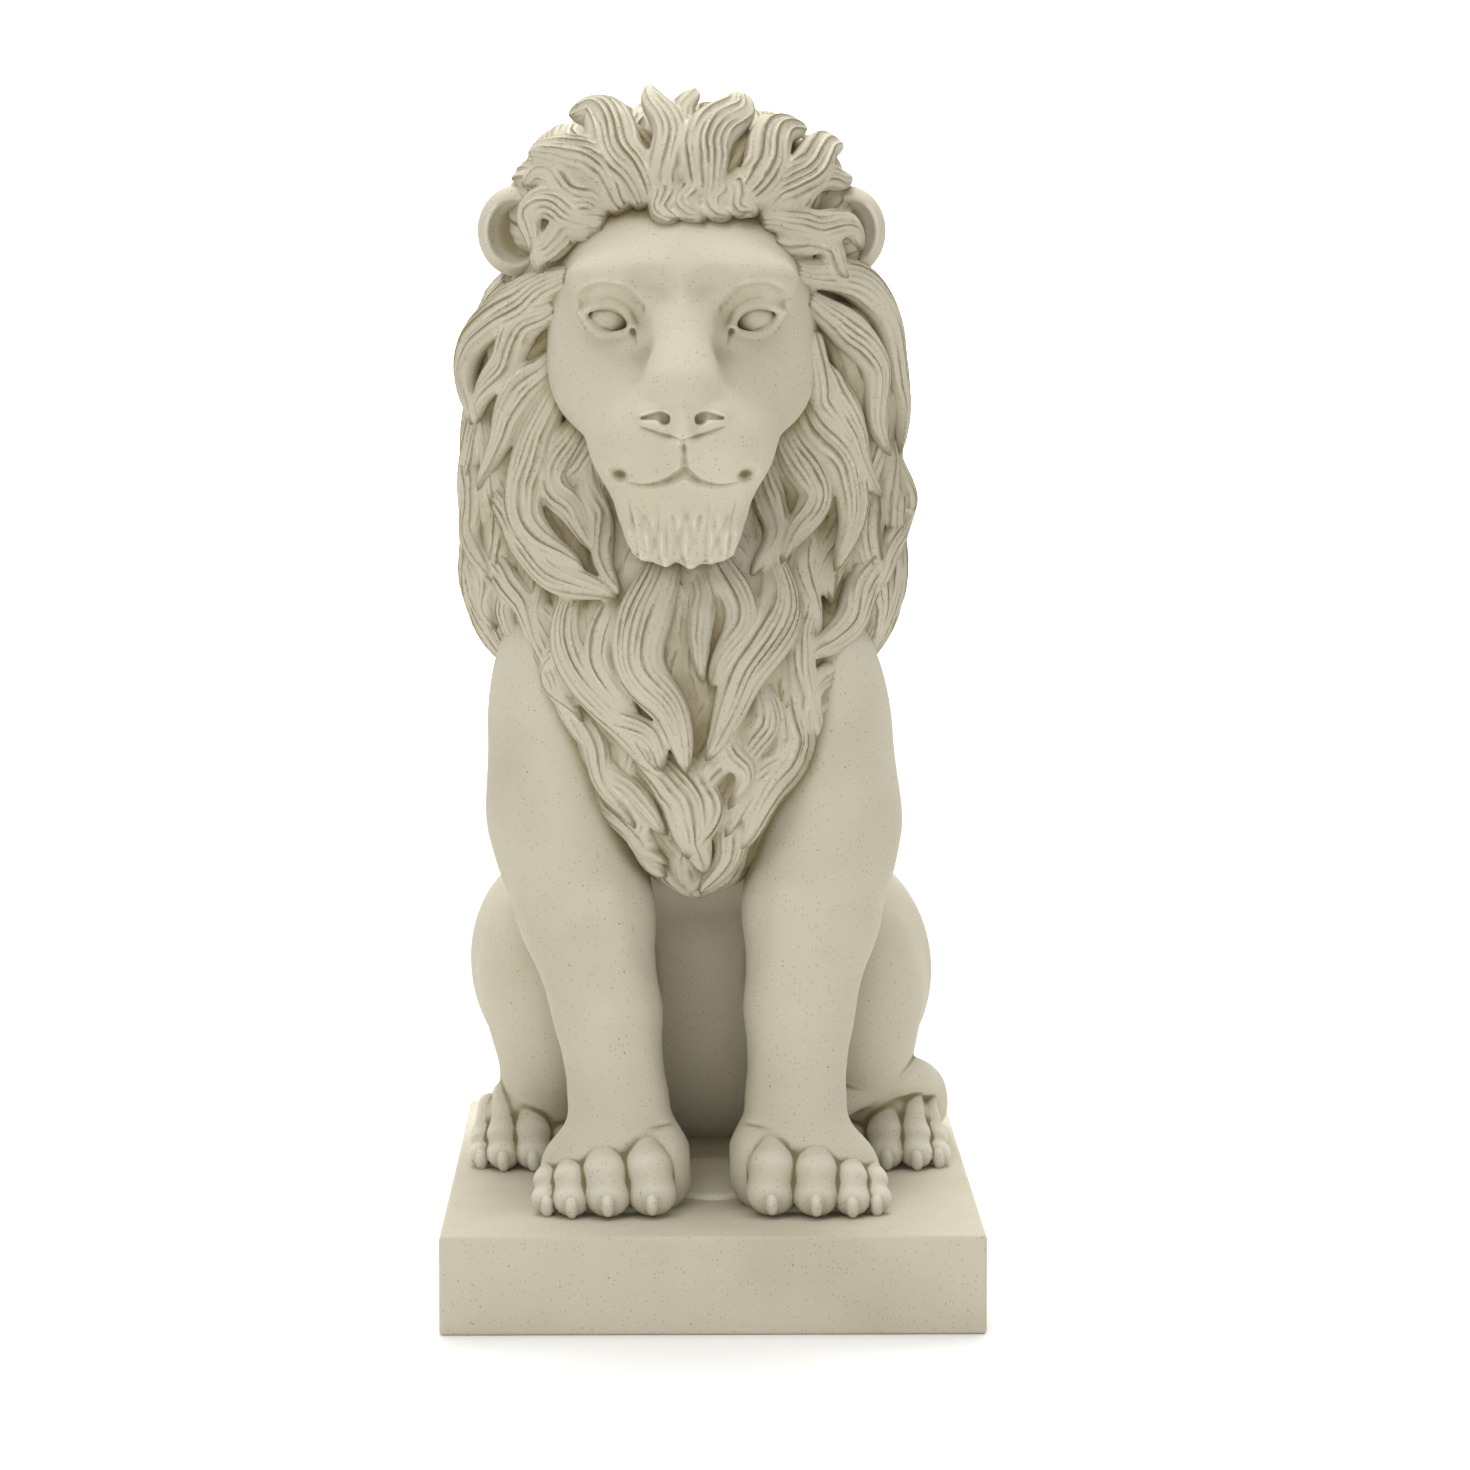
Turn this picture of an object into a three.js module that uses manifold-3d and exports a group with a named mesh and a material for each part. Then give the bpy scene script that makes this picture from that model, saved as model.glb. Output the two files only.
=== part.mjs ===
// A lion that sits upright on a plain block, cast together with it in one piece of cream stone.
//
// Millimetres, +Z up. The lion looks along -Y, and its own left side is at +X.
// The origin is the middle of the plinth's underside.
//
// Each form is modelled as a sculptor works in clay. A few soft lumps describe a form, such as the
// chest or a thigh, and blend() runs them into each other. cast() then shrinks a capsule onto the
// blended lumps, which gives a closed skin. The hair is laid on afterwards, lock by lock: each
// lock follows the lie of the hair over the mane's own form. All of it is joined in one solid.

import * as THREE from "three";
import { mergeVertices } from "three/addons/utils/BufferGeometryUtils.js";
import Module from "manifold-3d";

const wasm = await Module();
wasm.setup();

// Driving dimensions.
const PLINTH_WIDTH = 175;
const PLINTH_DEPTH = 250;
const PLINTH_HEIGHT = 32;
const PLINTH_EDGE = 1.2; // the worn bevel along the plinth's upper edges
const LION_HEIGHT = 368; // from the plinth's top to the tip of the highest lock
const FOOTING = 3; // how far the lion's body reaches down into the plinth
const LEAN = 9.5; // how far the head is set to the lion's right of the plinth's middle
const LEAN_RISE = 0.58; // the share of the lion's height over which it leans

// The figure's free forms are shares of its height: h is a hundredth of it. They are measured
// from the middle of the plinth's top, so at(0, -28, 70) is the tip of the nose.
const h = LION_HEIGHT / 100;
const at = (x, y, z) => new THREE.Vector3(x * h, y * h, z * h);
const BOTH_SIDES = [-1, 1];
const DOWN = new THREE.Vector3(0, 0, -1);

// Lumps of clay.
// A lump is a function of a point. It is negative inside, and about the distance to the skin.

function egg(centre, radii, pitch = 0) {
  const tilt = -THREE.MathUtils.degToRad(pitch);
  const turn = new THREE.Quaternion().setFromAxisAngle(new THREE.Vector3(1, 0, 0), tilt);
  const q = new THREE.Vector3();
  const r = radii;
  return (p) => {
    q.subVectors(p, centre).applyQuaternion(turn);
    const near = Math.hypot(q.x / r.x, q.y / r.y, q.z / r.z);
    const slope = Math.hypot(q.x / r.x ** 2, q.y / r.y ** 2, q.z / r.z ** 2);
    return near < 1e-6 ? -Math.min(r.x, r.y, r.z) : (near * (near - 1)) / slope;
  };
}

function limb(from, to, fromRadius, toRadius) {
  const axis = new THREE.Line3(from, to);
  const q = new THREE.Vector3();
  return (p) => {
    const share = axis.closestPointToPointParameter(p, true);
    return axis.at(share, q).distanceTo(p) - THREE.MathUtils.lerp(fromRadius * h, toRadius * h, share);
  };
}

// Joins lumps with soft hollows between them, where softness is about the width of a hollow.
function blend(softness, lumps) {
  const k = softness * h;
  return (p) => {
    let d = Infinity;
    for (const lump of lumps) {
      const e = lump(p);
      const overlap = Math.max(k - Math.abs(d - e), 0) / k;
      d = Math.min(d, e) - (d === Infinity ? 0 : (overlap * overlap * k) / 4);
    }
    return d;
  };
}

// Presses a hollow into a form.
function press(softness, form, hollows) {
  const k = softness * h;
  return (p) => {
    let d = form(p);
    for (const hollow of hollows) {
      const e = -hollow(p);
      const overlap = Math.max(k - Math.abs(d - e), 0) / k;
      d = Math.max(d, e) + (overlap * overlap * k) / 4;
    }
    return d;
  };
}

// The direction straight out of a form at a point.
function outward(form, p) {
  const step = 0.2 * h;
  const q = new THREE.Vector3();
  const slope = (x, y, z) => form(q.set(p.x + x, p.y + y, p.z + z)) - form(q.set(p.x - x, p.y - y, p.z - z));
  return new THREE.Vector3(slope(step, 0, 0), slope(0, step, 0), slope(0, 0, step)).normalize();
}

// Moves a point straight in or out until it lies at a height above a form's skin.
function settle(form, p, height) {
  for (let i = 0; i < 6; i++) p.addScaledVector(outward(form, p), (height - form(p)) * 0.9);
  return p;
}

// Shrinks a geometry onto a form. Each vertex moves straight in, towards the nearest place of the
// core, which is a point or a line inside the form.
function shrink(geometry, form, nearestOfCore, reach) {
  return reshape(geometry, (v) => {
    const root = nearestOfCore(v);
    const ray = v.clone().sub(root).normalize();
    v.copy(root).addScaledVector(ray, reachOf(form, root, ray, reach));
  });
}

// How far a form reaches from a root inside it along a ray.
function reachOf(form, root, ray, reach) {
  const v = new THREE.Vector3();
  let distance = reach * h;
  for (let i = 0; i < 80; i++) {
    const gap = form(v.copy(root).addScaledVector(ray, distance));
    if (gap < 0.01 * h) break;
    distance = Math.max(distance - gap * 0.7, 0.05 * h);
  }
  return distance;
}

// A capsule round the line between two points, shrunk onto a form.
function cast(form, from, to, around, along, reach = 40) {
  const core = new THREE.Line3(from, to);
  const caps = Math.ceil(along / 4);
  const geometry = new THREE.CapsuleGeometry(h, core.distance(), caps, around, along - 2 * caps);
  const direction = core.delta(new THREE.Vector3()).normalize();
  geometry.applyQuaternion(new THREE.Quaternion().setFromUnitVectors(new THREE.Vector3(0, 1, 0), direction));
  const middle = core.getCenter(new THREE.Vector3());
  geometry.translate(middle.x, middle.y, middle.z);
  return shrink(geometry, form, (v) => core.closestPointToPoint(v, true, new THREE.Vector3()), reach);
}

// A ball round a point, with its finest part towards -Y, shrunk onto a form.
function castRound(form, centre, around, rings, reach) {
  const geometry = new THREE.SphereGeometry(h, around, rings).rotateX(Math.PI / 2);
  geometry.translate(centre.x, centre.y, centre.z);
  return shrink(geometry, form, () => centre, reach);
}

// Moves every vertex of a geometry, keeping vertices that share a place together.
function reshape(geometry, move) {
  geometry.deleteAttribute("normal");
  geometry.deleteAttribute("uv");
  const merged = mergeVertices(geometry, 1e-4);
  const position = merged.getAttribute("position");
  const v = new THREE.Vector3();
  for (let i = 0; i < position.count; i++) {
    move(v.fromBufferAttribute(position, i), i);
    position.setXYZ(i, v.x, v.y, v.z);
  }
  return merged;
}

// Solids.

function solid(geometry) {
  geometry.deleteAttribute("normal");
  geometry.deleteAttribute("uv");
  const merged = mergeVertices(geometry, 1e-4);
  return new wasm.Manifold(
    new wasm.Mesh({
      numProp: 3,
      vertProperties: new Float32Array(merged.getAttribute("position").array),
      triVerts: new Uint32Array(merged.index.array),
    }),
  );
}

const join = (solids) => solids.reduce((whole, piece) => whole.add(piece));

// The outer skin of a solid, without the pockets that overlapping locks close off inside it.
function outerSkin(geometry) {
  const position = geometry.getAttribute("position");
  const index = geometry.index.array;
  const neighbour = Int32Array.from({ length: position.count }, (_, i) => i);
  const groupOf = (i) => {
    while (neighbour[i] !== i) i = neighbour[i] = neighbour[neighbour[i]];
    return i;
  };
  let top = 0;
  for (let i = 0; i < index.length; i++) {
    neighbour[groupOf(index[i])] = groupOf(index[i - (i % 3)]);
    if (position.getZ(index[i]) > position.getZ(top)) top = index[i];
  }
  const outer = groupOf(top);
  const kept = [];
  for (let i = 0; i < index.length; i += 3) {
    if (groupOf(index[i]) === outer) kept.push(index[i], index[i + 1], index[i + 2]);
  }
  return geometry.setIndex(kept);
}

// The trunk, the haunches and the legs.

const trunk = blend(7, [
  egg(at(0, 19, 14), at(13.5, 12.5, 16)), // rump
  limb(at(0, 17, 19), at(0, 3, 45), 12.5, 13.5), // back and belly
  egg(at(0, -3, 42), at(14.5, 12, 17)), // ribs
  limb(at(0, 0, 50), at(0, -5, 64), 13, 10), // neck
]);

const haunch = (side) =>
  blend(4, [
    egg(at(13.1 * side, 9.5, 17.5), at(8.8, 14.5, 11), -14), // thigh
    egg(at(14.2 * side, -1, 15.5), at(5.6, 6, 9)), // knee
    limb(at(14 * side, 3, 9), at(14 * side, 19, 4), 4.2, 3.6), // shank
    limb(at(14 * side, 19, 3.4), at(16.6 * side, 3, 3.6), 3.4, 3.4), // hind foot
  ]);

const foreleg = (side) =>
  blend(4, [
    egg(at(11.2 * side, -7, 41), at(7.3, 9.5, 14)), // shoulder
    limb(at(11.4 * side, -11, 34), at(10.1 * side, -16, 26), 6.4, 5.5), // upper arm
    egg(at(12.8 * side, -9.5, 30), at(3.8, 5, 5.5)), // elbow
    limb(at(10.1 * side, -16, 26), at(8.1 * side, -18.4, 12), 5.4, 3.8), // forearm
    limb(at(8.1 * side, -18.4, 12), at(8.6 * side, -19.2, 4), 3.9, 4.8), // wrist
  ]);

// A paw lies along -Y. Each toe is a knuckle and a tip, and a claw grows out of the tip.
// x and front are the places of a toe's middle and of its foremost point.
const FORE_TOES = [
  { x: 5.3, front: -26.9, width: 2.2 },
  { x: 9.2, front: -27.2, width: 2.05 },
  { x: 12.4, front: -26.6, width: 1.65 },
  { x: 14.6, front: -25.2, width: 1.4 },
];
const HIND_TOES = [
  { x: 13.7, front: -3.2, width: 1.35 },
  { x: 16.4, front: -4.7, width: 1.7 },
  { x: 19.2, front: -4.4, width: 1.55 },
  { x: 21.3, front: -2.8, width: 1.25 },
];
const TOE_LENGTH = 7;
const TOE_GATHER = 0.85; // how much closer together the roots of the toes lie than their tips
const CLAW = { wide: 0.85, deep: 0.9, tall: 1.6, slant: 20 };

function toe(side, { x, front, width }, middle) {
  const gathered = (share) => (middle + (x - middle) * share) * side;
  const root = at(gathered(TOE_GATHER), front + TOE_LENGTH, width + 3.6);
  const tip = at(x * side, front + width, width * 0.95);
  const form = blend(1.4, [
    limb(root, tip, width * 0.95, width * 0.85),
    egg(at(gathered(0.95), front + 3.2, width + 1.8), at(width, width * 1.2, width)), // knuckle
    egg(tip, at(width, width, width * 0.95)),
  ]);
  return cast(form, root, tip, 6, 4, 8);
}

function claw(side, { x, front, width }) {
  const geometry = new THREE.SphereGeometry(h, 5, 3).scale(CLAW.wide, CLAW.deep, CLAW.tall);
  geometry.rotateX(THREE.MathUtils.degToRad(-CLAW.slant));
  return geometry.translate(x * side * h, (front + 0.6) * h, width * 0.75 * h);
}

function paw(side, toes, pad) {
  const middle = (toes[0].x + toes[3].x) / 2;
  const pieces = [pad];
  for (const one of toes) pieces.push(toe(side, one, middle), claw(side, one));
  return pieces;
}

const forePaw = (side) =>
  paw(
    side,
    FORE_TOES,
    castRound(
      blend(2.5, [
        egg(at(8.8 * side, -19.6, 3.0), at(6.4, 4.8, 5.0)),
        egg(at(4.0 * side, -19.4, 4.0), at(2.1, 4.0, 3.6)), // the side pad
      ]),
      at(8.2 * side, -20, 2.4),
      9,
      5,
      20,
    ),
  );

const hindPaw = (side) => {
  const pad = egg(at(17.4 * side, 1.8, 2.8), at(4.6, 5.2, 3.6));
  return paw(side, HIND_TOES, castRound(pad, at(17.4 * side, 1.8, 2), 8, 5, 20));
};

// The tail leaves the rump, lies round the left haunch and ends in a tuft on the left hind foot.
const TAIL_RADIUS = 1.8;
const TAIL_COURSE = [
  at(0, 27, 7),
  at(8, 30.5, 2.4),
  at(16, 28.5, 1.5),
  at(20.6, 21, 1.6),
  at(21, 12, 2.6),
  at(19.8, 5.5, 5.6),
  at(17.2, 1.8, 6.9),
  at(14.0, -0.4, 5.8),
  at(12.2, -1.6, 3.0),
];

function tail() {
  const course = new THREE.CatmullRomCurve3(TAIL_COURSE, false, "centripetal");
  const tuft = (share) => 1 + 0.25 * THREE.MathUtils.smoothstep(share, 0.62, 0.85);
  return drawnOut(course, 6, 16, (share) => {
    const ending = Math.min(1, Math.sqrt(share * 12), Math.sqrt((1 - share) * 14));
    const radius = TAIL_RADIUS * tuft(share) * ending;
    return { wide: radius, high: radius };
  });
}

// The head.

const EYE = { x: 6.5, y: -18.3, z: 79.3, slant: 16 };
const MOUTH_CORNER = { x: 6.5, y: -22.4, z: 65.2 };

const skull = blend(3.4, [
  egg(at(0, -9, 80), at(11, 12, 9.5)), // cranium
  egg(at(0, -11.5, 75.8), at(12, 8.3, 9.4)), // cheeks
  ...BOTH_SIDES.map((side) => egg(at(5.4 * side, -18, 82.7), at(4.6, 2.8, 2.3))), // brows
  limb(at(0, -17.6, 81), at(0, -24.6, 73), 2.8, 3.5), // bridge of the nose
  ...BOTH_SIDES.map((side) => limb(at(6.5 * side, -15, 73.5), at(3.6 * side, -21.5, 68.3), 4.4, 3.9)), // jaw
  ...BOTH_SIDES.map((side) => egg(at(3.3 * side, -22.9, 68.2), at(4.0, 4.6, 3.6))), // muzzle
  egg(at(0, -20.6, 63.2), at(5.6, 4.8, 3.4)), // chin
]);

const head = press(
  1.5,
  skull,
  BOTH_SIDES.map((side) => egg(at(EYE.x * side, -20.6, EYE.z), at(3.1, 2.5, 1.9))), // eye sockets
);

// An eye is an almond with its inner corner low, and a lid over it and under it.
function eye(side) {
  const ball = new THREE.SphereGeometry(h, 8, 5).scale(2.2, 1.5, 1.3);
  const turn = THREE.MathUtils.degToRad(-EYE.slant * side);
  const middle = at(EYE.x * side, EYE.y, EYE.z);
  ball.rotateY(turn).translate(middle.x, middle.y, middle.z);
  const lid = (rise, push) => {
    const corner = (x, y, z) => at(x, y, z).applyAxisAngle(new THREE.Vector3(0, 1, 0), turn).add(middle);
    const ends = [-2.7, 2.7].map((x) => corner(x, -0.3, -0.2));
    const course = new THREE.QuadraticBezierCurve3(ends[0], corner(0, -push, rise), ends[1]);
    return drawnOut(course, 4, 5, () => ({ wide: 0.5, high: 0.5 }));
  };
  return [ball, lid(3.0, 2.3), lid(-2.9, 1.7)];
}

// The nose leather is a wide wedge on the tip of the bridge.
const noseLeather = castRound(
  blend(1, [
    ...BOTH_SIDES.map((side) => egg(at(2.1 * side, -26.2, 71.0), at(1.9, 1.9, 1.3))),
    egg(at(0, -26.9, 70.3), at(1.5, 1.7, 1.9)),
  ]),
  at(0, -26, 70.8),
  8,
  5,
  6,
);

const nostril = (side) =>
  new THREE.SphereGeometry(0.8 * h, 7, 5)
    .scale(1.2, 1.5, 0.7)
    .rotateZ(side * 0.5)
    .translate(2.5 * side * h, -28.1 * h, 70.5 * h);

// The line between the lips: down from the nose, then out to both corners of the mouth.
function mouthLines() {
  const groove = (points, radius) => {
    const settled = points.map((p) => settle(head, p, -0.05 * h));
    return drawnOut(new THREE.CatmullRomCurve3(settled), 4, 6, () => ({ wide: radius, high: radius }));
  };
  const cleft = groove([at(0, -28, 69.6), at(0, -28, 67.6), at(0, -27, 65.6)], 0.45);
  const lips = BOTH_SIDES.map((side) =>
    groove(
      [
        at(-0.2 * side, -27, 65.8),
        at(2.2 * side, -27, 64.7),
        at(4.6 * side, -25.6, 64.6),
        at(MOUTH_CORNER.x * side, MOUTH_CORNER.y, MOUTH_CORNER.z),
      ],
      0.5,
    ),
  );
  return [cleft, ...lips];
}

const beard = castRound(
  blend(1.5, [egg(at(0, -21.0, 61.8), at(5.3, 4, 3)), egg(at(0, -20.8, 60.2), at(4.8, 3.4, 2.7))]),
  at(0, -20.5, 61),
  12,
  5,
  12,
);

// An ear is a round shell, hollowed towards the front.
const EAR = { x: 14.6, y: -6, z: 86.9, radius: 3.8, depth: 3, turn: 0.4 };

function ear(side) {
  const shell = new THREE.SphereGeometry(EAR.radius * h, 9, 5).scale(1, EAR.depth / EAR.radius, 1.05);
  const hollow = new THREE.SphereGeometry(EAR.radius * 0.7 * h, 7, 4).translate(0, -EAR.depth * 0.85 * h, 0);
  const turned = [shell, hollow].map((geometry) =>
    solid(geometry.rotateZ(side * EAR.turn).translate(EAR.x * side * h, EAR.y * h, EAR.z * h)),
  );
  return turned[0].subtract(turned[1]);
}

// The mane.

const mane = blend(6, [
  egg(at(0, -3.5, 83.8), at(15, 12.4, 13.2)), // crown
  limb(at(-6.5, -4, 88), at(6.5, -4, 88), 7.6, 7.6), // the broad top of the crown
  ...BOTH_SIDES.map((side) => limb(at(8.6 * side, -1, 56), at(8.6 * side, -2, 75), 10.7, 10.6)), // ruff
  egg(at(0, -9.5, 47), at(13, 12.5, 16)), // chest
  egg(at(0, -15, 35.5), at(5.6, 5.5, 8)), // the point of the chest
  egg(at(0, 7, 62), at(13.5, 8.5, 18)), // nape
]);

const FACE_MIDDLE = at(0, -12, 76);
const FACE_RADIUS = 12;
const CHEST_POINT = at(0, -20, 24);

// The lie of the hair at a place on the mane. It stands out from the face at its root. On the
// crown it fans up, at the sides it bends down, and in front it closes in on the chest's point.
function lie(p) {
  const { smoothstep } = THREE.MathUtils;
  const away = p.clone().sub(FACE_MIDDLE);
  const spread = Math.hypot(away.x, away.z);
  const out = new THREE.Vector3(away.x / spread, 0.5, away.z / spread);
  const below = 1 - smoothstep(away.z / spread, -0.3, 0.6);
  const beyond = smoothstep(spread / (FACE_RADIUS * h), 0.9, 1.7);
  const behind = smoothstep(p.y / h, 1, 10);
  const weight = Math.max(below * (0.3 + 0.7 * beyond), behind);
  const gather = CHEST_POINT.clone().sub(p).normalize();
  const fall = DOWN.clone().lerp(gather, smoothstep(-p.y / h, 4, 14));
  return out.lerp(fall, weight);
}

// Draws a ball out along a course. section() gives its half width and half height at each share.
// above() gives the direction that the height points to. Without it the course's own is taken.
function drawnOut(course, around, rings, section, above) {
  const frames = course.computeFrenetFrames(rings, false);
  return reshape(new THREE.SphereGeometry(1, around, rings, Math.PI / 2), (v) => {
    const share = Math.acos(THREE.MathUtils.clamp(v.y, -1, 1)) / Math.PI;
    const turn = Math.atan2(v.z, v.x);
    const tip = Math.hypot(v.x, v.z) < 1e-6;
    const on = course.getPoint(share);
    const along = course.getTangent(share);
    const up = above ? above(on) : frames.normals[Math.round(share * rings)].clone();
    const across = up.clone().cross(along).normalize();
    up.crossVectors(along, across).normalize();
    const { wide, high } = tip ? { wide: 0, high: 0 } : section(share);
    v.copy(on).addScaledVector(across, Math.cos(turn) * wide * h);
    v.addScaledVector(up, Math.sin(turn) * high * h);
  });
}

// One lock of hair, rooted at a point, that follows the lie of the hair over the mane. Its three
// sides leave a ridge along the top. It lifts off the mane towards its tip.
function lock({ root, length, width, wave = 0, lift = 1.4 }) {
  const STEPS = 10;
  const p = settle(mane, root.clone(), -0.3 * h);
  const points = [p.clone()];
  for (let i = 1; i <= STEPS; i++) {
    const share = i / STEPS;
    const up = outward(mane, p);
    const flow = lie(p).applyAxisAngle(up, wave * Math.cos(share * Math.PI * 1.7));
    flow.addScaledVector(up, -flow.dot(up)).normalize();
    p.addScaledVector(flow, (length * h) / STEPS);
    settle(mane, p, (lift * share ** 1.6 - 0.3) * h);
    points.push(p.clone());
  }
  const section = (share) => {
    const fullness = Math.min(0.6 + share * 2, 1) * Math.pow(1 - share, 0.45);
    return { wide: 0.68 * width * fullness, high: width * (0.12 + 0.32 * fullness) };
  };
  const course = new THREE.CatmullRomCurve3(points, false, "centripetal");
  return drawnOut(course, 3, 5, section, (on) => outward(mane, on));
}

// An even scatter of numbers from -0.5 to 0.5, the same at every run.
const scatter = (index) => ((index * 0.618034 + 0.37) % 1) - 0.5;

// The mane's skin is a ball with one pole at the face and the other under the chest. Its columns
// run from the first to the second as the hair does: up over the crown and down the back, out and
// down at the sides, straight down in front. Every other column is a ridge of hair.
const MANE_CORE = at(0, -5, 60);
const MANE_RIDGES = 28;
const MANE_ROWS = 12;
const MANE_RELIEF = 1.1;
const MANE_WAVE = 0.07;
const MANE_FACE_RISE = THREE.MathUtils.degToRad(45); // how far above level the core sees the face
const MANE_SPAN = [0.16, 0.82]; // the rings that aren't hidden in the head and the trunk

function maneSkin() {
  const columns = 2 * MANE_RIDGES;
  return reshape(new THREE.SphereGeometry(1, columns, MANE_ROWS), (v) => {
    const polar = Math.acos(THREE.MathUtils.clamp(v.y, -1, 1)) / Math.PI;
    const atPole = polar < 1e-4 || polar > 1 - 1e-4;
    const firstRing = 1 / MANE_ROWS;
    const share = atPole ? polar : THREE.MathUtils.mapLinear(polar, firstRing, 1 - firstRing, ...MANE_SPAN);
    const column = Math.round((Math.atan2(-v.x, v.z) / (2 * Math.PI)) * columns);
    const swell = Math.sin(Math.PI * (3.5 * share + scatter(Math.abs(column >> 1))));
    const relief = atPole ? 0 : MANE_RELIEF * (column % 2 ? -0.8 : 0.7 + 0.6 * swell) * h;
    const turn = (column / columns) * 2 * Math.PI + MANE_WAVE * Math.sin(14 * share + 0.6 * column);
    const ray = new THREE.Vector3().setFromCylindricalCoords(Math.sin(Math.PI * share), turn, 0);
    ray.set(ray.x, -Math.cos(Math.PI * share), ray.z);
    const nod = THREE.MathUtils.lerp(MANE_FACE_RISE, Math.PI / 2, share);
    ray.applyAxisAngle(new THREE.Vector3(1, 0, 0), -nod);
    v.copy(MANE_CORE).addScaledVector(ray, reachOf(mane, MANE_CORE, ray, 60) + relief);
  });
}

// Rings of free locks round the face, from the hairline back. A turn is an angle at the middle of
// the face, with 0 at its top.
const CROWN_RINGS = [
  { radius: 11.5, y: -16, most: 48, locks: 5, length: 12, width: 6.4, lift: 1.8 },
  { radius: 15.5, y: -10, most: 45, locks: 5, length: 11, width: 7.4, lift: 1.8 },
];
const RUFF_RINGS = [
  { radius: 12.5, y: -13, from: 92, to: 136, locks: 2, length: 20, width: 6, lift: 1.6 },
  { radius: 18, y: -9, from: 84, to: 84, locks: 1, length: 22, width: 6.6, lift: 1.2 },
];
// Rows of free locks across the chest, each row narrower than the one above it.
const CHEST_ROWS = [
  { z: 53, half: 7, locks: 3, depth: -22 },
  { z: 43, half: 3.4, locks: 2, depth: -22 },
];
const CHEST_LOCK = { length: 13, width: 5.4, lift: 1.6 };

function freeLocks() {
  const locks = [];
  const addAt = (kind, root, side) => {
    const length = kind.length * (1 + 0.25 * scatter(locks.length + 7));
    locks.push(lock({ ...kind, root, length, wave: 0.4 * side }));
  };
  const addRound = (ring, turn, side) => {
    const angle = THREE.MathUtils.degToRad(turn + 5 * scatter(locks.length));
    addAt(ring, at(ring.radius * Math.sin(angle), ring.y, 76 + ring.radius * Math.cos(angle)), side);
  };
  for (const ring of CROWN_RINGS) {
    for (let i = 0; i < ring.locks; i++) {
      addRound(ring, ring.most * ((2 * i) / (ring.locks - 1) - 1), i % 2 ? 1 : -1);
    }
  }
  for (const ring of RUFF_RINGS) {
    for (let i = 0; i < ring.locks; i++) {
      const turn = THREE.MathUtils.lerp(ring.from, ring.to, i / Math.max(ring.locks - 1, 1));
      for (const side of BOTH_SIDES) addRound(ring, turn * side, i % 2 ? side : -side);
    }
  }
  for (const row of CHEST_ROWS) {
    for (let i = 0; i < row.locks; i++) {
      const across = row.half * ((2 * i) / (row.locks - 1) - 1) + scatter(locks.length);
      addAt(CHEST_LOCK, at(across, row.depth * (1 - (across / 24) ** 2), row.z), i % 2 ? 1 : -1);
    }
  }
  return locks;
}

// The plinth.

function plinth() {
  const half = { x: PLINTH_WIDTH / 2 - PLINTH_EDGE, y: PLINTH_DEPTH / 2 - PLINTH_EDGE };
  const outline = new THREE.Shape([
    new THREE.Vector2(-half.x, -half.y),
    new THREE.Vector2(half.x, -half.y),
    new THREE.Vector2(half.x, half.y),
    new THREE.Vector2(-half.x, half.y),
  ]);
  const bevelled = new THREE.ExtrudeGeometry(outline, {
    depth: PLINTH_HEIGHT - 2 * PLINTH_EDGE,
    bevelSize: PLINTH_EDGE,
    bevelThickness: PLINTH_EDGE,
    bevelSegments: 1,
  });
  return solid(bevelled.translate(0, 0, PLINTH_EDGE));
}

// The whole lion.

function lion() {
  const skins = [
    cast(trunk, at(0, 17, 14), at(0, -4, 52), 12, 10),
    maneSkin(),
    cast(head, at(0, -10, 76), at(0, -20, 70), 22, 16, 26),
    castRound(egg(at(0, -9, 0), at(4.5, 9, 1.5)), at(0, -9, 0), 8, 5, 12), // a low web between the paws
    beard,
    noseLeather,
    tail(),
    ...freeLocks(),
  ];
  for (const side of BOTH_SIDES) {
    skins.push(
      cast(haunch(side), at(14 * side, 14, 13), at(14 * side, 4, 15), 11, 9, 26),
      cast(foreleg(side), at(8.6 * side, -19, 4), at(11 * side, -8, 42), 10, 11, 20),
      ...eye(side),
      ...forePaw(side),
      ...hindPaw(side),
    );
  }
  const body = join([...skins.map(solid), ...BOTH_SIDES.map(ear)]);
  return body.subtract(join([...BOTH_SIDES.map(nostril), ...mouthLines()].map(solid)));
}

// Stands the figure on the plinth at its full height. It leans, and keeps to its footing.
function standing(figure) {
  const geometry = geometryOf(figure.getMesh());
  geometry.computeBoundingBox();
  const stretch = LION_HEIGHT / geometry.boundingBox.max.z;
  const rise = LEAN_RISE * LION_HEIGHT;
  return solid(
    reshape(geometry, (v) => {
      v.z = Math.max(v.z * stretch, -FOOTING);
      v.x -= LEAN * THREE.MathUtils.clamp(v.z / rise, 0, 1);
      v.z += PLINTH_HEIGHT;
    }),
  );
}

function geometryOf(mesh) {
  const vertices = new Float32Array(mesh.numVert * 3);
  for (let i = 0; i < mesh.numVert; i++) {
    vertices.set(mesh.vertProperties.subarray(i * mesh.numProp, i * mesh.numProp + 3), i * 3);
  }
  return new THREE.BufferGeometry()
    .setAttribute("position", new THREE.BufferAttribute(vertices, 3))
    .setIndex(new THREE.BufferAttribute(mesh.triVerts, 1));
}

const stone = new THREE.MeshStandardMaterial({ color: 0xd3ccb9, roughness: 0.72, metalness: 0 });
const group = new THREE.Group();
const statue = new THREE.Mesh(outerSkin(geometryOf(plinth().add(standing(lion())).getMesh())), stone);
statue.name = "seated_lion_on_plinth";
group.add(statue);

export default group;
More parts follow.
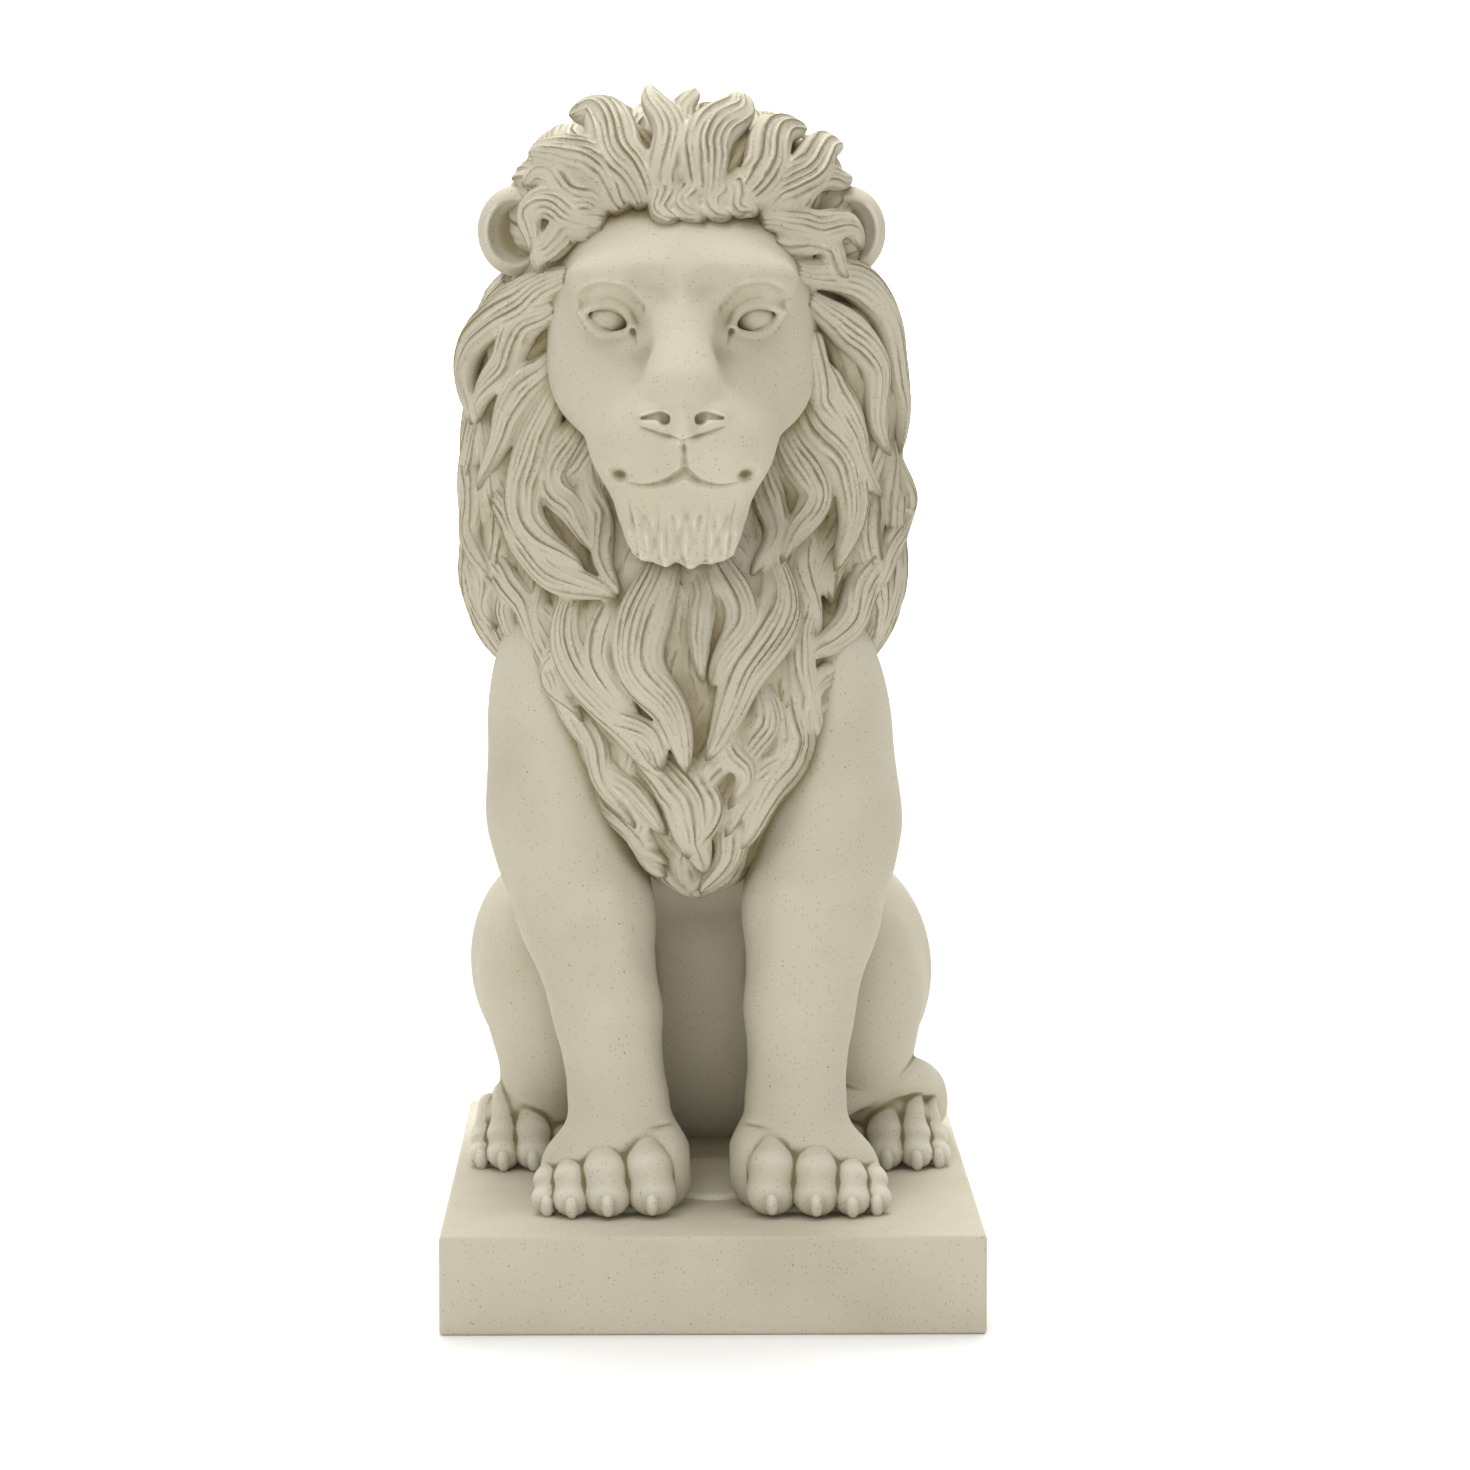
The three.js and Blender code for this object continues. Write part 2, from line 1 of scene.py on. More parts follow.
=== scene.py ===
# %% [markdown]
# A lion sits upright on a plain block. Both are one casting in cream stone, about 40 cm high. The
# mould was taken from a figure modelled in clay, so this lesson models it the same way. Soft lumps
# are pressed together into a body, locks of hair are laid over it, and one skin is drawn round it.
#
# The first step loads the model that fixes every size. All later sizes are worked out from it.

# %% Load the frame
import math

import bpy
import numpy as np
import openvdb
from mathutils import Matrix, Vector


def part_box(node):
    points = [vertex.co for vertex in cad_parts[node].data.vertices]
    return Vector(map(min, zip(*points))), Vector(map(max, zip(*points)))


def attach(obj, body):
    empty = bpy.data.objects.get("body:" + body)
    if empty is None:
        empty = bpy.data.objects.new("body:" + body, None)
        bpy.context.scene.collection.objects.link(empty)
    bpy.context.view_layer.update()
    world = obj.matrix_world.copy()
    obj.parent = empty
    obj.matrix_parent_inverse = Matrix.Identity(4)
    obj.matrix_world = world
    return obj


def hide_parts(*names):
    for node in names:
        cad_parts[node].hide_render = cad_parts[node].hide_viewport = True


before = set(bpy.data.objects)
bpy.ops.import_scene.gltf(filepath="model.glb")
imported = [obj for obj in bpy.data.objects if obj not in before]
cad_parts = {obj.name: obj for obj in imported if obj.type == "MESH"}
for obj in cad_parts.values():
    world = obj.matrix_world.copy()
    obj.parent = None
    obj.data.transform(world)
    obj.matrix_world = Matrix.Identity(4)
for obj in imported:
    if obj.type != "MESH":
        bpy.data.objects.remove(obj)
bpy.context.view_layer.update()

NODE = "seated_lion_on_plinth"
LOW, HIGH = (np.array(corner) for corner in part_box(NODE))
PLINTH_HEIGHT = 0.032
FIGURE_HEIGHT = HIGH[2] - LOW[2] - PLINTH_HEIGHT
H = FIGURE_HEIGHT / 100
print("box in millimetres", (HIGH - LOW) * 1000, "one unit of the figure", round(H * 1000, 3))

# %% [markdown]
# The figure's forms are measured in hundredths of its height, from the middle of the plinth's top.
# So a point such as (0, -28, 70) is the tip of the nose, and the lion looks along -Y.
#
# A lump of clay is a function of a point: negative inside, zero on the skin, and about the distance
# to the skin elsewhere. Sculpting by hand or subdivision surfaces could make the same forms, but
# lumps blend into each other with soft hollows, as clay does, and they stay easy to change.

# %% Lumps of clay
BOTH_SIDES = (-1, 1)


def egg(centre, radii, pitch=0.0):
    c, s = math.cos(math.radians(pitch)), math.sin(math.radians(pitch))
    rx, ry, rz = radii

    def lump(x, y, z):
        dx, dy, dz = x - centre[0], y - centre[1], z - centre[2]
        dy, dz = dy * c + dz * s, dz * c - dy * s
        near = np.sqrt((dx / rx) ** 2 + (dy / ry) ** 2 + (dz / rz) ** 2)
        slope = np.sqrt((dx / rx**2) ** 2 + (dy / ry**2) ** 2 + (dz / rz**2) ** 2)
        return near * (near - 1) / np.maximum(slope, 1e-5) - 1e-4

    return lump


def limb(start, end, start_radius, end_radius):
    run = np.subtract(end, start)
    length = float(run @ run)

    def lump(x, y, z):
        dx, dy, dz = x - start[0], y - start[1], z - start[2]
        share = np.clip((dx * run[0] + dy * run[1] + dz * run[2]) / length, 0, 1)
        gap = (dx - share * run[0]) ** 2 + (dy - share * run[1]) ** 2 + (dz - share * run[2]) ** 2
        return np.sqrt(gap) - (start_radius + (end_radius - start_radius) * share)

    return lump


def soft_min(a, b, softness):
    if softness <= 0:
        return np.minimum(a, b)
    overlap = np.maximum(softness - np.abs(a - b), 0) / softness
    return np.minimum(a, b) - overlap * overlap * softness / 4


def blend(softness, lumps):
    def form(x, y, z):
        clay = lumps[0](x, y, z)
        for lump in lumps[1:]:
            clay = soft_min(clay, lump(x, y, z), softness)
        return clay

    return form


def press(softness, form, hollows):
    def pressed(x, y, z):
        clay = form(x, y, z)
        for hollow in hollows:
            clay = -soft_min(-clay, hollow(x, y, z), softness)
        return clay

    return pressed


# %% [markdown]
# The clay itself is a block of small cubes that each hold the distance to the skin. Forms are added
# to it or cut from it one after the other, each inside its own box, so that only the cubes near it
# are worked out. The smooth body can be coarse, and the head gets a block of its own with finer
# cubes. The two skins run into each other under the mane.

# %% Blocks of clay
FAR = 4.0


def new_block(low, high, grain):
    low = np.array(low, float)
    shape = np.ceil((np.array(high) - low) / grain).astype(int) + 1
    print("cubes of clay", int(np.prod(shape)))
    return {"low": low, "grain": grain, "field": np.full(shape, FAR, np.float32)}


def part_of(block, low, high):
    shape = block["field"].shape
    first = np.floor((np.array(low) - block["low"]) / block["grain"]).astype(int)
    last = np.ceil((np.array(high) - block["low"]) / block["grain"]).astype(int) + 1
    first, last = np.maximum(first, 0), np.minimum(last, shape)
    lines = [
        (block["low"][i] + block["grain"] * np.arange(first[i], last[i])).astype(np.float32)
        for i in range(3)
    ]
    part = tuple(slice(a, b) for a, b in zip(first, last))
    return part, np.meshgrid(*lines, indexing="ij", sparse=True)


def add(block, form, low, high, softness=0.0):
    part, (x, y, z) = part_of(block, low, high)
    block["field"][part] = soft_min(block["field"][part], form(x, y, z), softness)


def cut(block, form, low, high, softness=0.0):
    part, (x, y, z) = part_of(block, low, high)
    block["field"][part] = -soft_min(-block["field"][part], form(x, y, z), softness)


def mirrored(low, high, side):
    x = sorted((low[0] * side, high[0] * side))
    return (x[0], *low[1:]), (x[1], *high[1:])


body = new_block((-24.2, -28.6, -2.2), (24.2, 34.0, 79.0), 0.2)
head = new_block((-19.4, -31.0, 54.0), (19.4, -2.0, 92.0), 0.12)

# %% [markdown]
# Points on a form are needed for the hair and the carved lines: the direction straight out of it,
# and the place where a ray or a view from the front meets it. A view that passes beside the form
# gives the place where it passes closest, which is where a lock stands free of the head.

# %% Places on a form
def outward(form, points, step=0.2):
    slope = np.empty_like(points)
    for axis in range(3):
        ahead, behind = points.copy(), points.copy()
        ahead[:, axis] += step
        behind[:, axis] -= step
        slope[:, axis] = form(*ahead.T) - form(*behind.T)
    return slope / np.linalg.norm(slope, axis=1, keepdims=True)


def settle(form, points, rounds=5):
    points = np.array(points, float)
    for _ in range(rounds):
        points -= outward(form, points) * (form(*points.T) * 0.9)[:, None]
    return points


def reach(form, core, rays, far=60.0):
    distance = np.full(len(rays), far)
    for _ in range(90):
        gap = form(*(core + rays * distance[:, None]).T)
        distance = np.maximum(distance - gap * 0.7, 0.05)
    return core + rays * distance[:, None]


def from_front(form, places, heights=0.0):
    places = np.asarray(places, float)
    y = np.arange(-33, 12, 0.1)
    gap = form(places[:, :1], y[None, :], places[:, 1:]) - np.asarray(heights).reshape(-1, 1)
    hit = gap <= 0
    first = np.where(hit.any(axis=1), np.maximum(hit.argmax(axis=1), 1), gap.argmin(axis=1))
    rows = np.arange(len(places))
    before, after = gap[rows, first - 1], gap[rows, first]
    back = np.where(hit.any(axis=1), after / np.minimum(after - before, -1e-6), 0)
    return np.column_stack([places[:, 0], y[first] - 0.1 * np.clip(back, 0, 1), places[:, 1]])


# %% [markdown]
# The trunk, the haunches and the forelegs are smooth: short fur isn't carved on such a lion. Each is
# a few lumps. They are blended with the trunk too, which leaves the soft folds at the joints.

# %% Trunk, haunches and forelegs
trunk = blend(7, [
    egg((0, 19, 14), (13.5, 12.5, 16)),
    limb((0, 17, 19), (0, 3, 45), 12.5, 13.5),
    egg((0, -3, 42), (14.5, 12, 17)),
    limb((0, 0, 50), (0, -5, 64), 13, 10),
])
add(body, trunk, (-17, -18, -1), (17, 34, 78))


def haunch(side):
    return blend(4, [
        egg((13.1 * side, 9.5, 17.5), (8.8, 14.5, 11), -14),
        egg((14.2 * side, -1, 15.5), (5.6, 6, 9)),
        limb((14 * side, 3, 9), (14 * side, 19, 4), 4.2, 3.6),
        limb((14 * side, 19, 3.4), (16.6 * side, 3, 3.6), 3.4, 3.4),
    ])


def foreleg(side):
    leg = blend(1.2, [
        limb((11.4 * side, -11, 34), (10.1 * side, -16, 26), 6.8, 6.0),
        limb((10.1 * side, -16, 26), (8.6 * side, -18.2, 17.5), 6.0, 4.7),
        limb((8.6 * side, -18.2, 17.5), (7.9 * side, -18.8, 9), 4.7, 4.25),
        limb((7.9 * side, -18.8, 9), (8.3 * side, -19.2, 4), 4.25, 4.5),
    ])
    shoulder = egg((11.2 * side, -7, 41), (7.3, 9.5, 14))
    elbow = egg((12.8 * side, -9.5, 30), (3.8, 5, 5.5))
    return blend(4, [shoulder, elbow, leg])


def tendon(side):
    return limb((8.2 * side, -20.2, 28), (5.0 * side, -20.8, 8), 0.5, 0.6)


for side in BOTH_SIDES:
    add(body, haunch(side), *mirrored((3, -10, -1), (24, 28, 32), side), softness=1.6)
    add(body, foreleg(side), *mirrored((1, -26, -1), (21, 6, 58), side), softness=1.6)
    add(body, tendon(side), *mirrored((2, -25, 8), (12, -17, 30), side), softness=2.0)

# %% [markdown]
# A paw has four toes side by side. A toe is a bone that comes down from the paw, a knuckle and a
# round tip, and an oval claw lies on the tip in a shallow nail bed. The creases between the toes
# appear by themselves, because the toes are joined with hardly any softness.

# %% Paws
FORE_TOES = ((5.3, -26.9, 2.2), (9.2, -27.2, 2.05), (12.4, -26.6, 1.65), (14.6, -25.2, 1.4))
HIND_TOES = ((13.7, -3.2, 1.35), (16.4, -4.7, 1.7), (19.2, -4.4, 1.55), (21.3, -2.8, 1.25))
TOE_LENGTH = 6.3
FORE_RISE, HIND_RISE = 2.9, 4.0  # in half widths of the toe
TOE_GATHER = 0.8
CLAW = (0.6, 0.75, 1.1)
CLAW_SLANT = 20
CREASE = 0.15


def toe(side, place, middle, rise):
    x, front, width = place
    root_x = (middle + (x - middle) * TOE_GATHER) * side
    knuckle_x = (middle + (x - middle) * 0.94) * side
    tip = (x * side, front + width, width * 0.95)
    return blend(0.9, [
        limb((root_x, front + TOE_LENGTH, width * rise), (knuckle_x, front + 3.4, width * 1.9),
             width * 0.84, width * 0.84),
        egg((knuckle_x, front + 3.2, width * 1.85), (width * 0.96, width * 1.05, width * 0.8)),
        egg(tip, (width, width * 1.05, width * 0.95)),
    ])


def claw(side, place):
    x, front, width = place
    return egg((x * side, front + 0.35, width * 0.62), CLAW, CLAW_SLANT)


def paw(side, toes, rise, pad, softness):
    middle = (toes[0][0] + toes[3][0]) / 2
    low = (min(t[0] for t in toes) - 3.5, min(t[1] for t in toes) - 1.5, -1)
    high = (max(t[0] for t in toes) + 3, max(t[1] for t in toes) + 13, 12)
    box = mirrored(low, high, side)
    add(body, pad, *box, softness=softness)
    for place in toes:
        add(body, toe(side, place, middle, rise), *box, softness=CREASE)
    for place in toes:
        add(body, claw(side, place), *box)


for side in BOTH_SIDES:
    fore_pad = blend(2.5, [
        egg((8.8 * side, -19.6, 3.0), (6.4, 4.8, 5.0)),
        egg((4.0 * side, -19.4, 4.0), (2.1, 4.0, 3.6)),
    ])
    paw(side, FORE_TOES, FORE_RISE, fore_pad, 1.5)
    paw(side, HIND_TOES, HIND_RISE, egg((17.4 * side, 3.6, 2.8), (4.5, 4.8, 3.6)), 1.5)

# %% [markdown]
# The tail comes round the lion's left haunch and its tuft rests on the left hind foot. A curve
# through a few points gives its course, and short limbs along it give its body.

# %% Tail
TAIL_RADIUS = 1.8
TAIL_COURSE = np.array([
    (0, 27, 7), (8, 30.5, 2.4), (16, 28.5, 1.5), (20.6, 21, 1.6), (21.2, 12, 3.0),
    (20.6, 5.0, 6.6), (18.0, 0.6, 8.2), (14.8, -1.4, 8.0), (11.8, -2.4, 6.8),
])


def through(points, count):
    points = np.vstack([2 * points[0] - points[1], points, 2 * points[-1] - points[-2]])
    shares = np.linspace(0, len(points) - 3, count)
    result = []
    for share in shares:
        i = min(int(share), len(points) - 4)
        t = share - i
        a, b, c, d = points[i:i + 4]
        result.append(0.5 * (2 * b + (c - a) * t + (2 * a - 5 * b + 4 * c - d) * t**2
                             + (3 * b - a - 3 * c + d) * t**3))
    return np.array(result)


def string_of_limbs(course, radii, softness=0.4):
    limbs = [limb(a, b, ra, rb) for a, b, ra, rb in zip(course, course[1:], radii, radii[1:])]
    return blend(softness, limbs)


tail_course = through(TAIL_COURSE, 90)
tail_share = np.linspace(0, 1, len(tail_course))
tail_radii = TAIL_RADIUS * (1 + 0.25 * np.clip((tail_share - 0.62) / 0.23, 0, 1))
add(body, string_of_limbs(tail_course, tail_radii, 0), (-3, -6, -1), (24, 34, 12), softness=0.3)
add(body, egg((0, -9, 0), (4.5, 9, 1.5)), (-6, -20, -1), (6, 2, 3), softness=1.0)

# %% [markdown]
# The head is the face of the work, so it has the most lumps: a broad skull, full cheeks, a brow that
# bulges over each eye, a straight bridge that widens to the nose, two pads for the upper lip and a
# square chin. The eye sockets and the hollows at the inner ends of the brow are pressed in.

# %% Head
skull = blend(3.2, [
    egg((0, -9, 80), (11, 12, 9.5)),
    egg((0, -11.5, 75.8), (12, 8.3, 9.4)),
    limb((-4.4, -9.8, 82.0), (4.4, -9.8, 82.0), 7.0, 7.0),
    *(egg((5.6 * side, -18.2, 82.9), (4.4, 2.9, 2.0)) for side in BOTH_SIDES),
    limb((0, -17.6, 81), (0, -24.6, 73), 2.7, 3.5),
    *(limb((6.5 * side, -15, 73.5), (3.6 * side, -21.5, 68.3), 4.4, 3.9) for side in BOTH_SIDES),
    *(egg((3.3 * side, -22.9, 68.2), (4.0, 4.6, 3.6)) for side in BOTH_SIDES),
    egg((0, -20.6, 63.2), (5.6, 4.8, 3.4)),
])
EYE_AT = (6.5, 79.2)
brow = press(1.4, skull, [
    *(egg((EYE_AT[0] * side, -21.4, EYE_AT[1]), (3.3, 3.5, 2.3)) for side in BOTH_SIDES),
    *(egg((2.7 * side, -22.4, 81.8), (2.1, 2.0, 1.7), 20) for side in BOTH_SIDES),
    *(egg((5.2 * side, -22.4, 76.6), (2.2, 2.2, 1.3)) for side in BOTH_SIDES),
])
add(head, brow, (-15, -31, 54), (15, -2, 92))

# %% [markdown]
# An eye is an opening that is cut into the socket, a ball in it and two lids round it. The outer
# corner lies higher than the inner one, and a tear line runs down from the inner corner. The gap
# between ball and lids is what draws the eye, because it stays dark.

# %% Eyes
EYE_SLANT = 14
EYE_OPENING = (2.3, 1.6, 1.7)
EYE_BALL = (1.8, 1.6, 1.55)
LID_RADII = (0.5, 0.34)  # of the upper and the lower lid


def turned(x, rise, side):
    c, s = math.cos(math.radians(EYE_SLANT)), math.sin(math.radians(EYE_SLANT))
    return (EYE_AT[0] + x * c - rise * s) * side, EYE_AT[1] + x * s + rise * c


def laid_on_skin(form, places, push, count):
    course = through(np.array([(x, 0, z) for x, z in places], float), count)
    course = from_front(form, course[:, (0, 2)])
    course[:, 1] += push
    return course


lid_taper = np.sin(np.linspace(0.3, math.pi - 0.3, 13)) ** 0.6
for side in BOTH_SIDES:
    box = mirrored((2, -26, 73), (12, -12, 85), side)
    front = from_front(brow, [(EYE_AT[0] * side, EYE_AT[1])])[0]
    cut(head, egg(front, EYE_OPENING), *box, softness=0.3)
    add(head, egg(front + (0, 1.0, 0), EYE_BALL), *box)
    for arch, lid_radius in zip((1.4, -1.4), LID_RADII):
        rim = [turned(-2.3, -0.25, side), turned(-1.3, arch * 0.72, side), turned(0, arch, side),
               turned(1.3, arch * 0.72, side), turned(2.4, 0.0, side)]
        lid = string_of_limbs(laid_on_skin(brow, rim, 0.0, 13), lid_radius * lid_taper, 0.1)
        add(head, lid, *box, softness=0.5)

# %% [markdown]
# The nose leather, the beard and its ragged lower edge are added to the head.

# %% Nose and beard
nose = blend(0.9, [
    *(egg((2.2 * side, -26.1, 70.9), (2.0, 1.9, 1.35)) for side in BOTH_SIDES),
    egg((0, -26.9, 70.3), (1.4, 1.8, 1.9)),
])
add(head, nose, (-6, -31, 66), (6, -22, 75), softness=0.5)
beard = blend(0.9, [
    egg((0, -21.0, 62.2), (5.6, 4.2, 3.0)),
    limb((-2.5, -21.2, 60.6), (2.5, -21.2, 60.6), 2.6, 2.6),
    *(limb((x, -22.3, 60.6), (x * 1.06, -22.0, reach_down), 1.6, 0.7)
      for x, reach_down in ((-3.2, 58.9), (-1.5, 58.2), (0.6, 58.0), (2.2, 58.5), (3.5, 58.9))),
])
add(head, beard, (-8, -27, 55), (8, -14, 67), softness=0.8)

# %% [markdown]
# The fine lines of the face are carved: each is a string of thin limbs laid on the skin where the
# view from the front meets it, and cut away. The mouth ends in a deep dimple at both corners.

# %% Carved lines of the face
face = blend(0.6, [brow, nose, beard])


def carve(places, radii, push=0.0, softness=0.2, count=14):
    course = laid_on_skin(face, places, push, count)
    radii = np.interp(np.linspace(0, 1, count), np.linspace(0, 1, len(radii)), radii)
    low, high = course.min(axis=0) - 1.5, course.max(axis=0) + 1.5
    cut(head, string_of_limbs(course, radii, 0.1), low, high, softness)


carve([(0.1, 68.7), (0.15, 67.4), (0.2, 65.9)], [0.22, 0.24, 0.42])
for side in BOTH_SIDES:
    carve([(0.2, 66.0), (1.5 * side, 65.15), (3.2 * side, 64.8), (4.8 * side, 65.0)],
          [0.5, 0.34, 0.22, 0.16])
    dimple = from_front(face, [(5.7 * side, 65.75)])[0]
    cut(head, egg(dimple, (0.8, 1.3, 0.55)), *mirrored((3, -28, 63), (9, -15, 69), side), softness=0.8)
    carve([(0.1, 68.7), (1.6 * side, 69.3), (3.6 * side, 70.0)], [0.26, 0.2, 0.1])
    carve([(1.5 * side, 70.7), (2.1 * side, 71.0), (3.5 * side, 70.8)], [0.5, 0.36, 0.15], push=0.25)
    carve([turned(-2.3, -0.5, side), turned(-2.8, -1.5, side)], [0.3, 0.12], push=-0.1, count=7)
    carve([turned(3.0, 0.8, side), turned(1.6, 2.2, side), turned(-0.6, 2.5, side), turned(-2.4, 1.6, side)],
          [0.2, 0.45, 0.5, 0.3], push=-0.15, softness=0.8)
for i, x in enumerate(np.linspace(-4.6, 4.6, 13)):
    sway = 0.3 * math.sin(2.4 * i)
    top = 63.6 - 0.7 * (i % 3)
    end = 57.4 + 1.1 * (i % 3 > 0)
    carve([(x * 1.06, top), (x + sway, 61.8), (x * 0.92 - sway, 59.8), (x * 0.88, end)],
          [0.06, 0.3, 0.34, 0.3], push=-0.16, softness=0.25, count=24)

# %% [markdown]
# An ear is a round shell that is hollowed towards the front. Locks of hair cover its inner edge.

# %% Ears
EAR = (15.0, -6, 87.0)
EAR_RADII = (3.5, 3, 4.1)
for side in BOTH_SIDES:
    box = mirrored((9, -12, 80), (19.4, -2, 92), side)
    ear = press(0.6, egg((EAR[0] * side, *EAR[1:]), EAR_RADII), [
        egg(((EAR[0] + 0.2) * side, EAR[1] - 2.7, EAR[2] - 0.1), (2.4, 2.7, 3.0)),
    ])
    add(head, ear, *box, softness=0.4)

# %% [markdown]
# The mane's own form comes next: a crown, a ruff at both sides, the chest and the nape. Its surface
# stays a little inside the locks, which will cover it.

# %% Form of the mane
mane = blend(6, [
    egg((0, -3.5, 83.8), (15, 12.4, 13.2)),
    limb((-6.5, -4, 88), (6.5, -4, 88), 7.6, 7.6),
    *(limb((8.6 * side, -1, 56), (8.6 * side, -2, 75), 10.7, 10.6) for side in BOTH_SIDES),
    egg((0, -9.5, 47), (13, 12.5, 16)),
    egg((0, -15, 35.5), (5.6, 5.5, 8)),
    egg((0, 7, 62), (13.5, 8.5, 18)),
])
UNDER_LOCKS = 1.6


def mane_core(x, y, z):
    return mane(x, y, z) + UNDER_LOCKS


core = new_block((-22, -26, 24), (22, 18, 100), 0.25)
add(core, mane_core, (-22, -26, 24), (22, 18, 100))

# %% [markdown]
# A mane is combed from the face outwards. On the crown the hair fans up, at the sides it bends down,
# and in front it closes in on the chest's point. One function gives that direction at any place. A
# lock's course is drawn by walking along it in short steps and swaying from side to side.

# %% Lie of the hair
FACE_MIDDLE = np.array([0.0, -12.0, 76.0])
FACE_RADIUS = 12
CHEST_POINT = np.array([0.0, -20.0, 22.0])
DOWN = np.array([0.0, 0.0, -1.0])


def smooth_step(value, low, high):
    t = np.clip((value - low) / (high - low), 0, 1)
    return t * t * (3 - 2 * t)


def unit(vectors):
    return vectors / np.maximum(np.linalg.norm(vectors, axis=1, keepdims=True), 1e-9)


def lie(points):
    away = points - FACE_MIDDLE
    spread = np.maximum(np.hypot(away[:, 0], away[:, 2]), 1e-6)
    rise = away[:, 2] / spread
    back = 0.5 + 2 * smooth_step(points[:, 1], -9, 1)
    out = np.column_stack([away[:, 0] / spread, back, rise])
    below = 1 - smooth_step(rise, -0.25, 0.75)
    beyond = smooth_step(spread / FACE_RADIUS, 0.9, 1.6)
    behind = smooth_step(points[:, 1], 1, 10)
    weight = np.maximum(below * (0.45 + 0.55 * beyond), behind)[:, None]
    gather = smooth_step(-points[:, 1], 4, 14)[:, None]
    fall = DOWN * (1 - gather) + unit(CHEST_POINT - points) * gather
    return out * (1 - weight) + fall * weight


# %% [markdown]
# A lock is walked step by step from its root. At each step it turns away from the lie of the hair
# and back again, so that it waves, and it's put back on the mane's form.

# %% Courses of the locks
LOCK_POINTS = 30


def walk(roots, lengths, sways, phases):
    places = settle(mane, roots)
    courses, ups = [], []
    for i in range(LOCK_POINTS):
        share = i / (LOCK_POINTS - 1)
        up = outward(mane, places, step=1.0)
        courses.append(places.copy())
        ups.append(up)
        angle = (sways * np.cos(share * math.pi * 1.7 + phases))[:, None]
        flow = lie(places)
        flow = unit(flow - up * (flow * up).sum(axis=1, keepdims=True))
        flow = flow * np.cos(angle) + np.cross(up, flow) * np.sin(angle)
        places = settle(mane, places + flow * (lengths / LOCK_POINTS)[:, None], rounds=3)
    return np.array(courses).transpose(1, 0, 2), np.array(ups).transpose(1, 0, 2)


# %% [markdown]
# The locks overlap as roof tiles do: a root lies under its neighbours, and a tip stands out. Rows of
# roots are laid round a globe with one pole at the face and the other below the chest. In front they
# stay low, because the locks that the figure shows there are placed one by one afterwards.

# %% Rows of locks
MANE_CORE = np.array([0.0, -5.0, 60.0])
FACE_RISE = math.radians(45)
ROWS = 12
FIRST_ROW, LAST_ROW = 0.13, 0.84
LOCKS_ROUND = 36
SUNK = UNDER_LOCKS + 0.4
along = np.linspace(0, 1, LOCK_POINTS)
rng = np.random.default_rng(12)


def on_globe(share, turn):
    flat = np.stack([np.sin(turn) * np.sin(math.pi * share), -np.cos(math.pi * share),
                     np.cos(turn) * np.sin(math.pi * share)], axis=-1)
    nod = -(FACE_RISE + (math.pi / 2 - FACE_RISE) * share)
    c, s = np.cos(nod), np.sin(nod)
    return np.stack([flat[..., 0], flat[..., 1] * c - flat[..., 2] * s,
                     flat[..., 1] * s + flat[..., 2] * c], axis=-1)


def locks_from(shares, turns, sides, rng):
    count = len(shares)
    roots = reach(mane, MANE_CORE, on_globe(shares, turns))
    on_crown = smooth_step(roots[:, 2], 84, 92)
    in_front = smooth_step(-roots[:, 1], 3, 10)
    lengths = (17 - 4 * on_crown - 3 * in_front) * rng.uniform(0.85, 1.2, count)
    half_widths = (2.4 + 0.3 * on_crown - 0.5 * in_front) * rng.uniform(0.85, 1.15, count)
    lifts = (0.9 + 0.5 * on_crown - 0.9 * in_front) * rng.uniform(0.8, 1.3, count)
    sways = 0.55 * sides * rng.uniform(0.6, 1.1, count)
    courses, ups = walk(roots, lengths, sways, rng.uniform(-0.4, 0.4, count))
    heights = -SUNK + (SUNK + lifts)[:, None] * along ** 0.8
    return courses + ups * heights[..., None], ups, half_widths


shares, turns, sides = [], [], []
for row in range(ROWS):
    share = FIRST_ROW + (LAST_ROW - FIRST_ROW) * row / (ROWS - 1)
    count = max(int(round(LOCKS_ROUND * math.sin(math.pi * min(share + 0.05, 0.93)))), 8)
    for i in range(count):
        shares.append(share + rng.uniform(-0.02, 0.02))
        turns.append(2 * math.pi * (i + 0.5 * (row % 2) + rng.uniform(-0.25, 0.25)) / count)
        sides.append(1 if (i + row) % 2 else -1)
courses, ups, half_widths = locks_from(np.array(shares), np.array(turns), np.array(sides), rng)
print("locks in rows", len(courses))

# %% [markdown]
# The back of the head is far from the globe's middle, so the rows lie wide apart there and the
# stone under them would show. More rows are laid between them, behind the crown only.

# %% Rows behind the crown
BACK_ROWS = (0.19, 0.24, 0.29, 0.33, 0.37, 0.41, 0.45)
LOCKS_BEHIND = 11
WIDEST_TURN = math.radians(66)
rng = np.random.default_rng(5)
shares = np.repeat(BACK_ROWS, LOCKS_BEHIND) + rng.uniform(-0.01, 0.01, len(BACK_ROWS) * LOCKS_BEHIND)
turns = np.tile(np.linspace(-WIDEST_TURN, WIDEST_TURN, LOCKS_BEHIND), len(BACK_ROWS))
turns += rng.uniform(-0.08, 0.08, len(turns))
sides = np.where(np.arange(len(turns)) % 2, 1, -1)
behind = locks_from(shares, turns, sides, rng)
courses = np.concatenate([courses, behind[0]])
ups = np.concatenate([ups, behind[1]])
half_widths = np.concatenate([half_widths, behind[2]])
rows_of_locks = len(courses)
print("with the back of the head", rows_of_locks)

